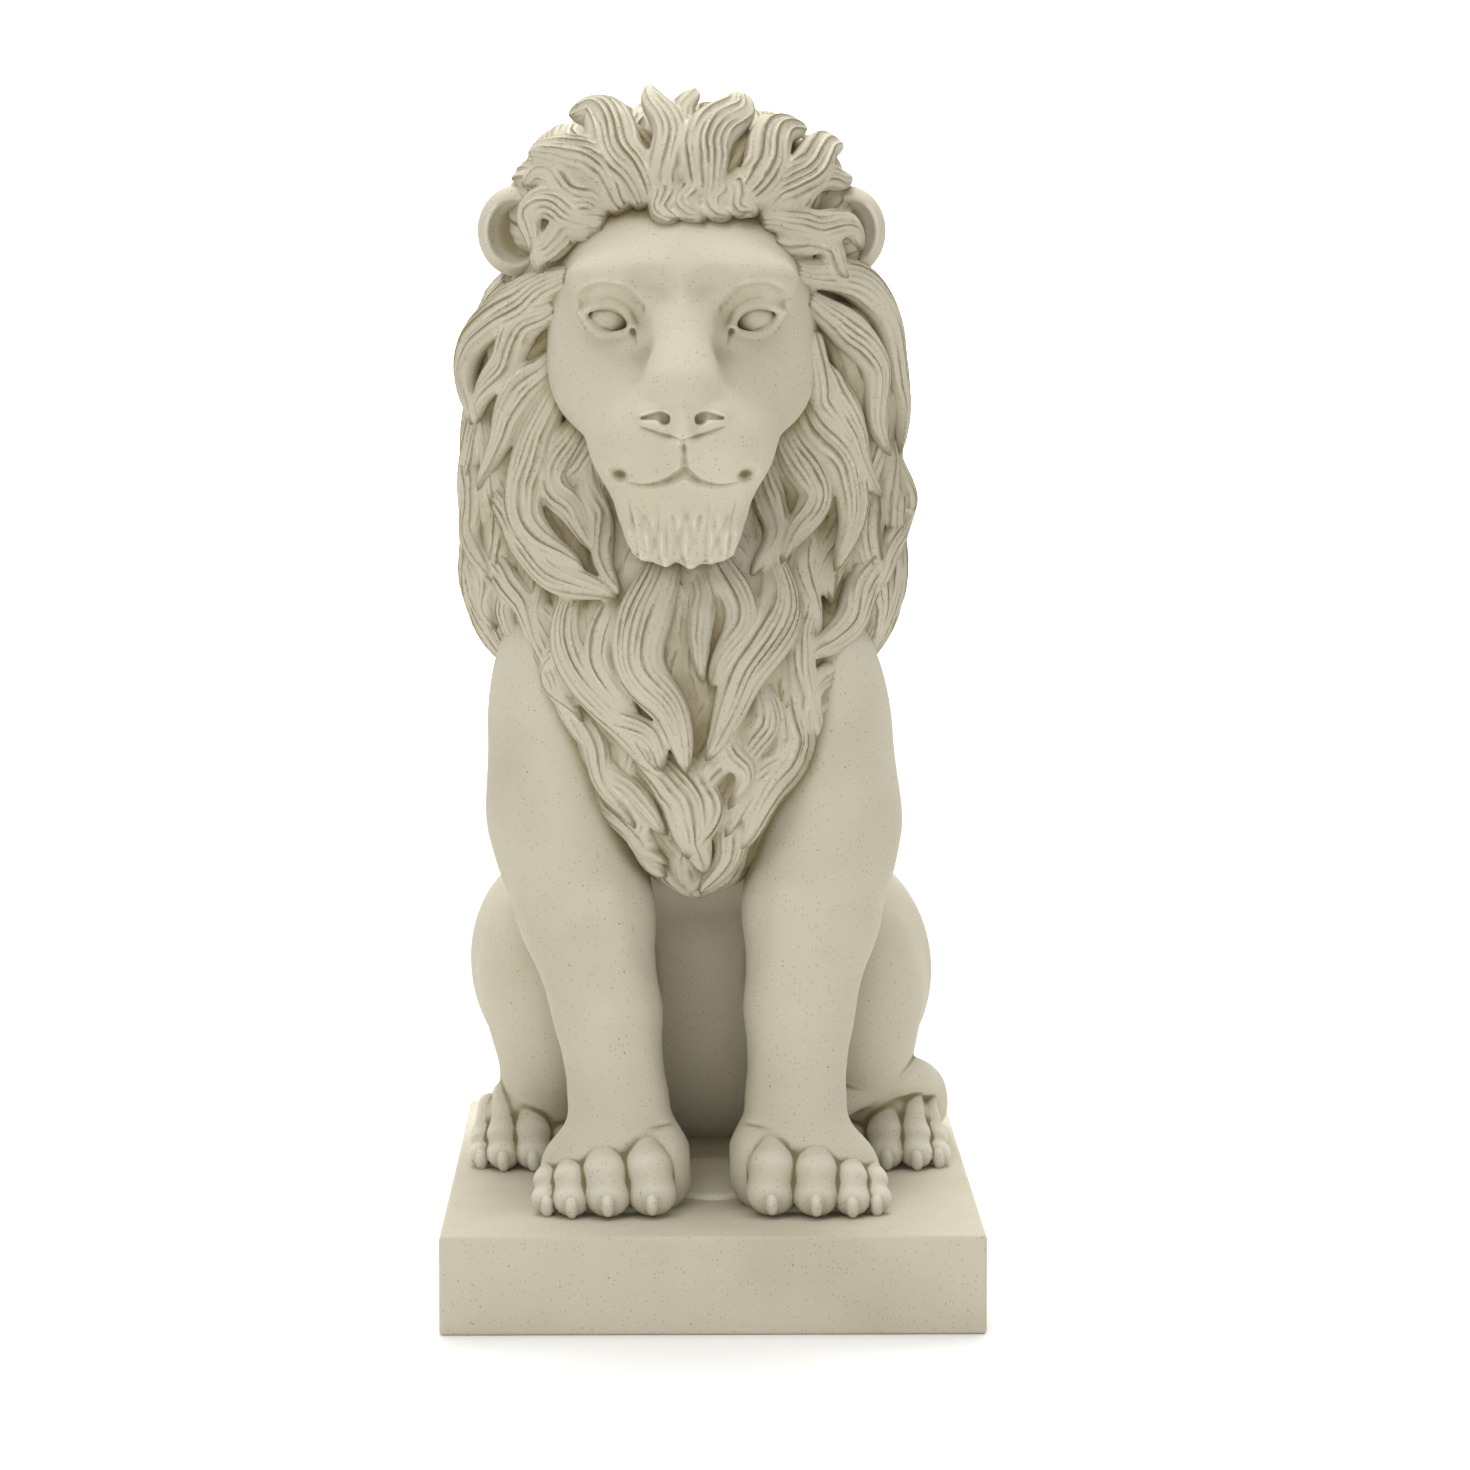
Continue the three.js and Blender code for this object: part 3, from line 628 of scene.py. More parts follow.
# %% [markdown]
# Each lock that the front shows has a course of its own, given as the places (x, z) that it passes
# from root to tip, with its half width and how far its tip stands out. On the crown they fan up like
# flames, at the cheeks they bend down, and on the chest they swing to and fro and end in a point.

# %% Locks of the front
FRONT_LOCKS = (
    (1.7, 2.6, ((-1.0, 89.2), (-1.4, 93.0), (-1.9, 97.0), (-2.9, 100.2))),
    (1.3, 2.0, ((0.0, 89.4), (0.1, 94.4), (0.5, 97.8), (1.2, 99.9))),
    (2.4, 2.3, ((1.6, 89.0), (2.4, 93.6), (3.9, 97.3), (5.4, 99.4))),
    (2.1, 1.9, ((5.0, 89.0), (6.6, 92.0), (8.6, 95.2), (11.1, 96.5))),
    (2.0, 1.7, ((6.8, 88.6), (9.0, 91.2), (12.0, 93.9), (14.6, 94.9))),
    (1.6, 1.1, ((7.8, 87.8), (10.0, 89.8), (13.0, 91.6), (15.4, 91.9))),
    (2.4, 2.3, ((-3.0, 89.2), (-4.6, 93.2), (-6.9, 96.9), (-10.2, 97.4))),
    (2.2, 1.9, ((-5.0, 89.0), (-7.0, 92.0), (-10.2, 94.4), (-13.8, 94.0))),
    (1.8, 1.3, ((-6.6, 88.6), (-8.2, 90.4), (-11.4, 91.9), (-14.4, 91.2))),
    (1.7, 0.35, ((-2.0, 92.2), (-1.9, 90.4), (-1.3, 89.0), (-0.3, 87.9))),
    (1.7, 0.45, ((0.4, 92.4), (0.6, 90.6), (1.1, 89.2), (2.0, 87.8))),
    (1.7, 0.35, ((2.2, 92.2), (2.6, 90.7), (3.3, 89.3), (4.4, 88.0))),
    (1.5, 0.45, ((3.6, 91.8), (4.8, 90.8), (5.8, 89.6), (6.4, 88.2))),
    (1.9, 1.6, ((-6.8, 87.8), (-10.0, 89.0), (-13.2, 88.4), (-13.5, 85.0))),
    (1.7, 1.1, ((-7.8, 86.6), (-10.4, 87.0), (-12.6, 85.6), (-12.4, 83.2))),
    (1.8, 1.8, ((7.0, 87.8), (11.0, 88.0), (14.4, 87.4), (16.3, 85.2))),
    (1.6, 1.2, ((8.2, 86.2), (11.2, 86.0), (13.6, 84.6), (15.0, 82.8))),
    (2.1, 1.5, ((-9.8, 83.0), (-14.4, 81.6), (-17.8, 78.0), (-19.3, 73.4), (-19.1, 69.4))),
    (2.1, 1.5, ((9.8, 83.4), (15.2, 82.2), (19.2, 78.2), (20.4, 72.6), (19.8, 66.6))),
    (1.9, 1.1, ((-11.0, 80.2), (-14.8, 77.6), (-17.4, 74.0), (-18.6, 69.5))),
    (1.9, 1.1, ((11.0, 81.0), (14.4, 79.0), (16.6, 75.2), (17.4, 70.6), (19.0, 66.6))),
    (1.8, 0.9, ((-11.2, 76.0), (-14.0, 72.4), (-16.8, 68.6), (-18.6, 63.4))),
    (2.1, 1.1, ((11.6, 78.0), (12.8, 73.0), (15.0, 68.0), (18.2, 62.9))),
    (2.2, 1.4, ((-10.6, 74.0), (-13.6, 68.0), (-14.4, 63.2), (-12.0, 59.4), (-8.8, 57.0))),
    (2.2, 1.3, ((10.7, 74.6), (11.8, 69.4), (14.4, 65.2), (15.8, 61.0), (13.6, 56.4))),
    (1.7, 0.9, ((-9.2, 70.4), (-11.2, 65.4), (-10.2, 61.4), (-7.6, 58.4))),
    (2.0, 1.1, ((9.0, 70.6), (11.0, 66.0), (11.0, 62.0), (8.8, 57.4))),
    (1.4, 1.3, ((-8.4, 67.4), (-8.4, 62.0), (-6.9, 58.4), (-5.6, 54.9))),
    (1.6, 0.9, ((6.8, 67.2), (8.4, 63.2), (7.9, 60.0), (6.0, 56.4))),
    (2.0, 1.3, ((-18.8, 71.0), (-19.5, 64.4), (-19.0, 59.8), (-17.4, 55.4))),
    (2.0, 1.4, ((19.0, 68.4), (20.0, 62.6), (19.5, 58.0), (17.4, 54.4))),
    (2.2, 1.5, ((-17.6, 64.4), (-14.6, 59.8), (-10.4, 56.6), (-5.9, 54.6))),
    (2.2, 0.9, ((19.2, 60.4), (17.2, 55.4), (14.0, 51.6), (10.6, 49.0))),
    (1.7, 1.0, ((-17.0, 60.0), (-16.2, 56.4), (-14.8, 52.6), (-12.8, 49.4))),
    (1.6, 1.2, ((-18.8, 58.4), (-18.6, 54.8), (-17.2, 50.8))),
    (1.8, 1.0, ((18.2, 53.8), (16.0, 49.6), (13.2, 46.6), (10.8, 43.2))),
    (2.6, 1.7, ((-0.6, 60.4), (-3.0, 54.4), (-3.5, 49.2), (-1.8, 44.6), (-0.5, 39.2))),
    (1.9, 1.1, ((2.6, 60.4), (4.4, 55.4), (3.8, 51.0), (2.0, 46.8))),
    (2.5, 1.5, ((7.4, 59.6), (7.8, 53.0), (5.0, 46.8), (1.2, 40.4))),
    (2.1, 1.0, ((-8.2, 58.2), (-9.9, 51.6), (-8.8, 46.0), (-5.2, 41.8), (-2.2, 38.8))),
    (1.7, 0.7, ((-5.4, 57.6), (-6.8, 51.8), (-6.6, 46.8), (-4.4, 43.0))),
    (1.9, 1.1, ((-12.2, 57.4), (-13.0, 50.8), (-11.6, 45.6), (-8.6, 40.6))),
    (1.6, 0.9, ((-15.4, 56.4), (-15.4, 50.8), (-13.6, 46.0))),
    (1.8, 1.0, ((11.6, 54.4), (10.4, 48.8), (9.6, 44.4), (10.0, 40.2))),
    (2.5, 1.4, ((9.0, 47.0), (8.4, 41.6), (6.8, 36.8), (4.0, 32.2))),
    (1.8, 0.9, ((-9.4, 45.6), (-8.0, 40.6), (-5.4, 36.4), (-2.4, 33.6))),
    (1.8, 1.1, ((-8.6, 40.6), (-7.0, 35.4), (-4.8, 31.8), (-2.6, 29.6))),
    (2.4, 1.4, ((-4.8, 42.0), (-1.8, 37.6), (0.3, 34.0), (0.6, 30.0))),
    (2.0, 0.9, ((4.8, 41.0), (3.8, 36.0), (2.4, 32.0), (0.2, 27.9))),
    (2.0, 0.4, ((3.4, 45.0), (2.4, 41.6), (1.6, 38.4), (1.0, 34.6))),
    (2.0, 0.4, ((6.6, 47.4), (6.0, 44.0), (5.2, 40.4), (3.8, 36.8))),
    (1.6, 1.5, ((-15.6, 48.4), (-12.2, 45.0), (-8.2, 41.4), (-7.4, 37.6), (-5.2, 34.0))),
    (1.6, 1.4, ((12.0, 47.6), (9.4, 44.4), (8.0, 40.4), (4.8, 36.8), (2.6, 33.4))),
    (1.4, 1.9, ((-2.6, 41.6), (0.6, 39.4), (1.6, 36.4), (-0.2, 33.8), (-0.8, 31.4))),
    (1.4, 1.4, ((-7.6, 37.4), (-5.6, 35.4), (-4.6, 33.0), (-2.4, 30.8))),
    (1.5, 1.8, ((-5.6, 48.6), (-6.4, 45.2), (-3.8, 42.6), (-2.6, 39.4))),
    (1.4, 1.8, ((5.6, 45.4), (3.6, 42.4), (4.4, 39.4), (3.0, 36.0))),
    (1.4, 1.5, ((-13.6, 54.0), (-11.2, 50.6), (-11.8, 46.8), (-9.4, 43.4))),
    (1.4, 1.5, ((13.4, 52.0), (13.8, 48.6), (11.6, 45.6), (11.4, 42.0))),
    (1.3, 1.9, ((1.0, 57.6), (2.2, 54.0), (0.6, 50.8), (1.4, 47.2))),
)


hair_ground = blend(1.5, [mane, brow])
HAIRLINE_FROM = 76  # locks that start lower come out from behind the jaw
ROOTS_SUNK = (0.8, 0.45)  # below the face's height and at the edge of the forehead
SWING = 0.75


def front_lock(half_width, lift, places):
    flat = through(np.array([(x, 0, z) for x, z in places], float), LOCK_POINTS)
    aside = unit(np.gradient(flat, axis=0))[:, (2, 1, 0)] * (1, 1, -1)
    flat += aside * (SWING * np.sin(2 * math.pi * (1.15 * along + lift)) * np.sin(math.pi * along))[:, None]
    sunk = np.interp(places[0][1], (74, 82), ROOTS_SUNK)
    height = -sunk + (sunk + lift) * along ** 0.7
    ground = hair_ground if places[0][1] > HAIRLINE_FROM else mane
    course = from_front(ground, flat[:, (0, 2)], height)
    for _ in range(4):
        course[1:-1, 1] = (course[:-2, 1] + course[1:-1, 1] + course[2:, 1]) / 3
    return course, outward(ground, course, step=1.0)


shown = [front_lock(*lock) for lock in FRONT_LOCKS]
courses = np.concatenate([courses, np.array([course for course, up in shown])])
ups = np.concatenate([ups, np.array([up for course, up in shown])])
half_widths = np.concatenate([half_widths, [lock[0] for lock in FRONT_LOCKS]])
total = len(courses)
print("locks of the front", len(FRONT_LOCKS), "in all", total)

# %% [markdown]
# Geometry Nodes turn the courses into locks. The script hands over plain lines, and each point has
# its half width, the direction that is up, its share of the lock's length, and its lock's number.

# %% Lines for the locks
STRAND = 0.64  # the width of a strand of hair


def mesh_object(name, vertices, edges=(), faces=()):
    mesh = bpy.data.meshes.new(name)
    mesh.from_pydata(vertices, edges, faces)
    thing = bpy.data.objects.new(name, mesh)
    bpy.context.collection.objects.link(thing)
    return thing


def give(thing, name, values, kind="FLOAT"):
    field = "vector" if kind == "FLOAT_VECTOR" else "value"
    attribute = thing.data.attributes.new(name, kind, "POINT")
    attribute.data.foreach_set(field, np.asarray(values, np.float32).ravel())


CROWN_FROM, BLUNT, POINTED = 88, 4.5, 2.4
tip_power = np.where(courses[:, -1, 2] > CROWN_FROM, BLUNT, POINTED)[:, None]
taper = np.minimum(0.5 + 1.6 * along, 1) * np.clip(1 - along**tip_power, 0, 1) ** 0.7 + 0.03
line_edges = [
    (LOCK_POINTS * lock + i, LOCK_POINTS * lock + i + 1)
    for lock in range(total) for i in range(LOCK_POINTS - 1)
]
hair = mesh_object("hair", courses.reshape(-1, 3), line_edges)
give(hair, "up", ups, "FLOAT_VECTOR")
give(hair, "half_width", half_widths[:, None] * taper)
give(hair, "strands", np.repeat(2 * half_widths / STRAND, LOCK_POINTS))
give(hair, "along", np.tile(along, total))
give(hair, "lock", np.repeat(np.arange(total), LOCK_POINTS))

# %% [markdown]
# The tree sweeps one outline along every course. The outline is domed above and deep below, so that
# no lock hangs in the air. Then grooves are pressed into the dome: their number follows the lock's
# width, each wanders a little, fades and returns, and all run together at the tip, as carved strands
# do. Tubes with a bevel would sweep a shape too, but their grooves would all be alike.

# %% Tree that sweeps the locks
def add_node(tree, kind, settings=(), **links):
    node = tree.nodes.new(kind)
    for name, value in dict(settings).items():
        setattr(node, name, value)
    for name, value in links.items():
        numbered = name[0] == "i" and name[1:].isdigit()
        socket = node.inputs[int(name[1:])] if numbered else node.inputs[name.replace("_", " ")]
        if isinstance(value, bpy.types.NodeSocket):
            tree.links.new(value, socket)
        else:
            socket.default_value = value
    return node


NUMBER = "ShaderNodeMath"
RANGE = "ShaderNodeMapRange"
OUTLINE_POINTS = 110
DOME_POINTS = 84
tree = bpy.data.node_groups.new("grooved locks", "GeometryNodeTree")
tree.interface.new_socket("Geometry", in_out="OUTPUT", socket_type="NodeSocketGeometry")
tree.interface.new_socket("Geometry", in_out="INPUT", socket_type="NodeSocketGeometry")
asked = {
    name: tree.interface.new_socket(name, in_out="INPUT", socket_type="NodeSocketFloat")
    for name in ("Dome", "Depth below", "Groove width", "Groove depth", "Strand rise", "Wander")
}
given = tree.nodes.new("NodeGroupInput").outputs


def times(a, b):
    return add_node(tree, NUMBER, {"operation": "MULTIPLY"}, i0=a, i1=b).outputs[0]


def attribute(name, kind="FLOAT"):
    node = add_node(tree, "GeometryNodeInputNamedAttribute", {"data_type": kind}, Name=name)
    return node.outputs[0]


# %% [markdown]
# The outline is a ring of points. The points of the dome come first and take most of the number,
# because the strands are carved there, and the rest go round below.

# %% The outline of a lock
number = add_node(tree, "GeometryNodeInputIndex").outputs[0]
over = add_node(tree, RANGE, i0=number, i1=0.0, i2=float(DOME_POINTS), i3=0.0, i4=math.pi)
under = add_node(tree, RANGE, i0=number, i1=float(DOME_POINTS), i2=float(OUTLINE_POINTS),
                 i3=0.0, i4=math.pi)
angle = add_node(tree, NUMBER, i0=over.outputs[0], i1=under.outputs[0]).outputs[0]
across = add_node(tree, NUMBER, {"operation": "COSINE"}, i0=angle).outputs[0]
rise = add_node(tree, NUMBER, {"operation": "SINE"}, i0=angle).outputs[0]
top = add_node(tree, NUMBER, {"operation": "MAXIMUM"}, i0=rise, i1=0.0).outputs[0]
low = add_node(tree, NUMBER, {"operation": "MINIMUM"}, i0=rise, i1=0.0).outputs[0]
height = add_node(tree, NUMBER, i0=times(top, given["Dome"]), i1=times(low, given["Depth below"]))
place = add_node(tree, "ShaderNodeCombineXYZ", i0=height.outputs[0], i1=across).outputs[0]
ring = add_node(tree, "GeometryNodeCurvePrimitiveCircle", Resolution=OUTLINE_POINTS)
named = add_node(tree, "GeometryNodeStoreNamedAttribute", Geometry=ring.outputs[0], Name="across",
                 Value=across)
named = add_node(tree, "GeometryNodeStoreNamedAttribute", Geometry=named.outputs[0], Name="top",
                 Value=top)
outline = add_node(tree, "GeometryNodeSetPosition", Geometry=named.outputs[0], Position=place)

# %% [markdown]
# The lines become curves whose upward side is set, so that no lock twists, and the outline is swept
# along them at the width that each point asks for.

# %% The sweep along the courses
lines = add_node(tree, "GeometryNodeMeshToCurve", Mesh=given["Geometry"]).outputs[0]
upright = add_node(tree, "GeometryNodeSetCurveNormal", {"mode": "FREE"}, Curve=lines,
                   Normal=attribute("up", "FLOAT_VECTOR"))
swept = add_node(tree, "GeometryNodeCurveToMesh", Curve=upright.outputs[0],
                 Profile_Curve=outline.outputs[0], Scale=attribute("half_width"), Fill_Caps=True)

# %% [markdown]
# A noise that is different for each lock bends its strands. Another lets each groove fade and come
# back, and a third lifts each strand a little over or under the next.

# %% The grooves between the strands
WANDER_ALONG, FADE_ALONG, RISE_ALONG = 3.0, 4.0, 1.5
seed = times(attribute("lock"), 7.3)
wave_at = add_node(tree, "ShaderNodeCombineXYZ", i0=seed, i1=times(attribute("along"), WANDER_ALONG))
wave = add_node(tree, "ShaderNodeTexNoise", Vector=wave_at.outputs[0], Scale=1.0, Detail=1.0)
wave = add_node(tree, NUMBER, {"operation": "SUBTRACT"}, i0=wave.outputs[0], i1=0.5).outputs[0]
strand = times(times(attribute("across"), attribute("strands")), 0.5)
strand = add_node(tree, NUMBER, i0=strand, i1=times(wave, given["Wander"])).outputs[0]
gap = add_node(tree, NUMBER, {"operation": "PINGPONG"}, i0=strand, i1=0.5).outputs[0]
groove = add_node(tree, RANGE, {"interpolation_type": "SMOOTHSTEP"}, i0=gap, i1=0.0,
                  i2=given["Groove width"], i3=1.0, i4=0.0).outputs[0]
column = add_node(tree, NUMBER, {"operation": "ROUND"}, i0=strand).outputs[0]
fade_at = add_node(tree, "ShaderNodeCombineXYZ", i0=times(column, 3.7), i1=seed,
                   i2=times(attribute("along"), FADE_ALONG))
fade = add_node(tree, "ShaderNodeTexNoise", Vector=fade_at.outputs[0], Scale=1.0, Detail=0.0)
strong = add_node(tree, RANGE, i0=fade.outputs[0], i1=0.38, i2=0.58, i3=0.15, i4=1.0).outputs[0]
inside = add_node(tree, RANGE, i0=attribute("top"), i1=0.2, i2=0.6, i3=0.0, i4=1.0).outputs[0]
between = add_node(tree, NUMBER, {"operation": "FLOOR"}, i0=strand).outputs[0]
own_at = add_node(tree, "ShaderNodeCombineXYZ", i0=seed, i1=times(between, 5.3),
                  i2=times(attribute("along"), RISE_ALONG))
own = add_node(tree, "ShaderNodeTexNoise", Vector=own_at.outputs[0], Scale=1.0, Detail=0.0)
own = add_node(tree, NUMBER, {"operation": "SUBTRACT"}, i0=own.outputs[0], i1=0.5).outputs[0]
depth = add_node(tree, NUMBER, i0=times(times(groove, strong), given["Groove depth"]),
                 i1=times(own, given["Strand rise"])).outputs[0]
push = add_node(tree, "ShaderNodeVectorMath", {"operation": "SCALE"},
                i0=attribute("up", "FLOAT_VECTOR"),
                Scale=times(depth, times(inside, attribute("half_width"))))
carved = add_node(tree, "GeometryNodeSetPosition", Geometry=swept.outputs[0], Offset=push.outputs[0])
real = add_node(tree, "GeometryNodeRealizeInstances", Geometry=carved.outputs[0]).outputs[0]
stone = bpy.data.materials.new("cream_cast_stone")
finished = add_node(tree, "GeometryNodeSetMaterial", Geometry=real, Material=stone).outputs[0]
tree.links.new(finished, tree.nodes.new("NodeGroupOutput").inputs[0])

# %% [markdown]
# The numbers that shape a lock are set on the modifier: how high its dome is and how deep its grooves
# are, as shares of its half width, and how wide a groove is, as a share of a strand.

# %% Locks from the tree
modifier = hair.modifiers.new("locks", "NODES")
modifier.node_group = tree
for name, value in (("Dome", 0.66), ("Depth below", 1.0), ("Groove width", 0.36),
                    ("Groove depth", -0.24), ("Strand rise", 0.5), ("Wander", 2.2)):
    modifier[asked[name].identifier] = value


def evaluated(thing):
    return bpy.data.meshes.new_from_object(thing.evaluated_get(bpy.context.evaluated_depsgraph_get()))


lock_mesh = evaluated(hair)
bpy.data.objects.remove(hair)
lock_faces = len(lock_mesh.polygons) // total
print("faces of one lock", lock_faces)

# %% [markdown]
# The mane's form and the locks are still separate shells that run into each other. A casting has one
# skin, so they are turned into one field of distances, and a new skin is drawn round the outside. A
# voxel remesh does the same, but here the body and the head are fields already.

# %% Skins
def vertices_of(mesh):
    places = np.empty(3 * len(mesh.vertices), np.float32)
    mesh.vertices.foreach_get("co", places)
    return places.reshape(-1, 3)


def triangles_of(mesh):
    mesh.calc_loop_triangles()
    corners = np.empty(3 * len(mesh.loop_triangles), np.int32)
    mesh.loop_triangles.foreach_get("vertices", corners)
    return corners.reshape(-1, 3)


def skin_of(block):
    field = openvdb.FloatGrid(FAR)
    field.copyFromArray(block["field"])
    points, quads = field.convertToQuads(isovalue=0.0)
    return points * block["grain"] + block["low"], quads


def halves(quads):
    return np.vstack([quads[:, :3], quads[:, (0, 2, 3)]])


def joined(shells, grain):
    points, faces, count = [], [], 0
    for shell_points, shell_faces in shells:
        points.append(shell_points / grain)
        faces.append(shell_faces.astype(np.int64) + count)
        count += len(shell_points)
    return openvdb.FloatGrid.createLevelSetFromPolygons(
        np.vstack(points).astype(np.float32), triangles=np.vstack(faces).astype(np.uint32))


MANE_GRAIN, FRONT_GRAIN = 0.14, 0.12
lock_points, lock_triangles = vertices_of(lock_mesh), triangles_of(lock_mesh)
first_shown = len(lock_points) // total * rows_of_locks
is_shown = lock_triangles.min(axis=1) >= first_shown
core_points, core_quads = skin_of(core)


def skin_round(shells, grain):
    points, quads = joined(shells, grain).convertToQuads(isovalue=0.0)
    return points * grain, quads


skins = {
    "body": skin_of(body),
    "head": skin_of(head),
    "mane": skin_round([(core_points, halves(core_quads)),
                        (lock_points[:first_shown], lock_triangles[~is_shown])], MANE_GRAIN),
    "front_locks": skin_round([(lock_points[first_shown:], lock_triangles[is_shown] - first_shown)],
                              FRONT_GRAIN),
}
for name, (points, quads) in skins.items():
    print(name, "faces of the skin", len(quads))

# %% [markdown]
# The colour follows the carving. It darkens where the stone round a place closes in on it, partly as a
# brown wash left in the recesses and partly as painted shade where less light reaches, and it pales on
# ridges as a painted highlight. A groove shows in how far a place lies under the average of its
# neighbours. A wide hollow shows in the share of stone in a box round the place, less the half that a
# flat place has.

# %% Grooves
GROOVE_ROUNDS = 10


def under_neighbours(points, quads, normals):
    ends = np.concatenate([quads.ravel(), np.roll(quads, -1, axis=1).ravel()])
    others = np.concatenate([np.roll(quads, -1, axis=1).ravel(), quads.ravel()])
    count = np.bincount(ends, minlength=len(points))[:, None]
    even = points
    for _ in range(GROOVE_ROUNDS):
        sums = [np.bincount(ends, even[others, axis], len(points)) for axis in range(3)]
        even = np.stack(sums, axis=1) / count
    return ((even - points) * normals).sum(axis=1)


# %% [markdown]
# The hollows are found on a coarse grid of the whole figure: one where a cell is stone, nought where
# it's air. Running sums along the three axes give the share of stone in the box round each cell.

# %% Hollows
HOLLOW_GRAIN = 0.5
HOLLOW_CELLS = 3
hollow_low = np.array([-28.0, -36.0, -8.0])
HOLLOW_SHAPE = (112, 152, 230)
shells = [(points - hollow_low, halves(quads)) for points, quads in skins.values()]
whole = joined(shells, HOLLOW_GRAIN)
stone_share = np.full(HOLLOW_SHAPE, 3, np.float32)
whole.copyToArray(stone_share)
stone_share = (stone_share < 0).astype(np.float32)
for axis in range(3):
    nought = np.zeros_like(stone_share.take([0], axis))
    sums = np.cumsum(np.concatenate([nought, stone_share], axis), axis)
    cells = np.arange(stone_share.shape[axis])
    first = np.clip(cells - HOLLOW_CELLS, 0, cells[-1])
    last = np.clip(cells + HOLLOW_CELLS + 1, 0, cells[-1] + 1)
    stone_share = (sums.take(last, axis) - sums.take(first, axis)) / (2 * HOLLOW_CELLS + 1)


def hollow_at_points(points):
    at = (points - hollow_low) / HOLLOW_GRAIN
    cell = np.floor(at).astype(int)
    rest = at - cell
    share = np.zeros(len(points))
    for corner in np.ndindex(2, 2, 2):
        weight = np.prod(np.where(corner, rest, 1 - rest), axis=1)
        share += weight * stone_share[tuple((cell + corner).T)]
    return share - 0.5


# %% [markdown]
# The figure now stands up at its real size. It leans a little to its right from the haunches to the
# shoulders, and its lowest parts reach into the plinth.

# %% Stand the figure on its plinth
LEAN = 0.0095
LEAN_RISE = 0.58
FOOTING = 0.003
ROOM = 0.0002  # to the sides and the top of the model that fixes the size
top_of_hair = max(skins[name][0][:, 2].max() for name in ("mane", "front_locks"))
rise_to_top = (FIGURE_HEIGHT - ROOM) / (top_of_hair * H)


def standing(points):
    places = points * H
    places[:, 2] = np.maximum(places[:, 2] * rise_to_top, -FOOTING)
    places[:, 0] -= LEAN * np.clip(places[:, 2] / (LEAN_RISE * FIGURE_HEIGHT), 0, 1)
    places[:, 2] += PLINTH_HEIGHT
    places[:, 0] = np.clip(places[:, 0], LOW[0] + ROOM, HIGH[0] - ROOM)
    return places


# %% [markdown]
# The skins have far more faces than their forms need. Each becomes a mesh, keeps its grooves and
# hollows as attributes for the wash, the painted shade and the painted highlight, and is thinned
# where it's flattest. The edges of the carved strands stay, because a smooth place loses its faces first.

# %% Skins as meshes
MOST_TRIANGLES = {"body": 110000, "head": 150000, "mane": 180000, "front_locks": 196000}


def skin_object(name, points, quads):
    thing = mesh_object(name, [])
    mesh = thing.data
    mesh.vertices.add(len(points))
    mesh.vertices.foreach_set("co", standing(points).astype(np.float32).ravel())
    mesh.loops.add(quads.size)
    mesh.loops.foreach_set("vertex_index", quads.astype(np.int32).ravel())
    mesh.polygons.add(len(quads))
    mesh.polygons.foreach_set("loop_start", np.arange(0, quads.size, 4))
    mesh.update(calc_edges=True)
    normals = np.empty(3 * len(points), np.float32)
    mesh.vertex_normals.foreach_get("vector", normals)
    groove = under_neighbours(points, quads, normals.reshape(-1, 3))
    hollow = hollow_at_points(points)
    give(thing, "groove", groove)
    give(thing, "hollow", hollow)
    marks = (1, 10, 50, 75, 90, 99)
    print(name, "groove", np.percentile(groove, marks).round(3), "hollow",
          np.percentile(hollow, marks).round(2))
    thin = thing.modifiers.new("thin", "DECIMATE")
    thin.ratio = min(MOST_TRIANGLES[name] / (2 * len(quads)), 1)
    thinned = evaluated(thing)
    thing.modifiers.clear()
    thing.data = thinned
    thinned.name = name
    thinned.shade_smooth()
    print(name, "triangles", sum(len(p.vertices) - 2 for p in thinned.polygons))
    return thing


pieces = [skin_object(name, points, quads) for name, (points, quads) in skins.items()]

# %% [markdown]
# The plinth is a plain block. Its edges are rounded a little, as a mould's corners are, and they
# catch a thin line of light.

# %% Plinth
EDGE = 0.0012


def block(name, low, high):
    corners = [
        (x, y, z) for x in (low[0], high[0]) for y in (low[1], high[1]) for z in (low[2], high[2])
    ]
    sides = [(0, 1, 3, 2), (4, 6, 7, 5), (0, 4, 5, 1), (2, 3, 7, 6), (0, 2, 6, 4), (1, 5, 7, 3)]
    return mesh_object(name, corners, (), sides)


plinth = block("plinth", LOW, (HIGH[0], HIGH[1], PLINTH_HEIGHT))
worn = plinth.modifiers.new("worn edges", "BEVEL")
worn.width = EDGE
worn.segments = 3
solid_plinth = evaluated(plinth)
plinth.modifiers.clear()
plinth.data = solid_plinth
pieces.append(plinth)


# %% [markdown]
# One mix of stone was poured, so one material covers all. Colours are given as they look on a
# screen and turned into amounts of light by one function.

# %% Colours
def srgb(code):
    parts = [int(code[i:i + 2], 16) / 255 for i in (1, 3, 5)]
    return [c / 12.92 if c <= 0.04045 else ((c + 0.055) / 1.055) ** 2.4 for c in parts] + [1.0]


stone.use_nodes = True
nodes = stone.node_tree
nodes.nodes.clear()
coords = add_node(nodes, "ShaderNodeTexCoord").outputs["Object"]


def range_of(value, low, high, start=0.0, end=1.0):
    return add_node(nodes, RANGE, {"interpolation_type": "SMOOTHSTEP"}, i0=value, i1=low, i2=high,
                    i3=start, i4=end).outputs[0]


def over_colour(under, code, amount):
    under = srgb(under) if isinstance(under, str) else under
    mix = add_node(nodes, "ShaderNodeMix", {"data_type": "RGBA"}, i0=amount, i6=under, i7=srgb(code))
    return mix.outputs[2]


# %% [markdown]
# The stone is a warm cream with slightly darker clouds in it, each a few centimetres wide. They keep
# the smooth legs and the plinth from looking like plastic.

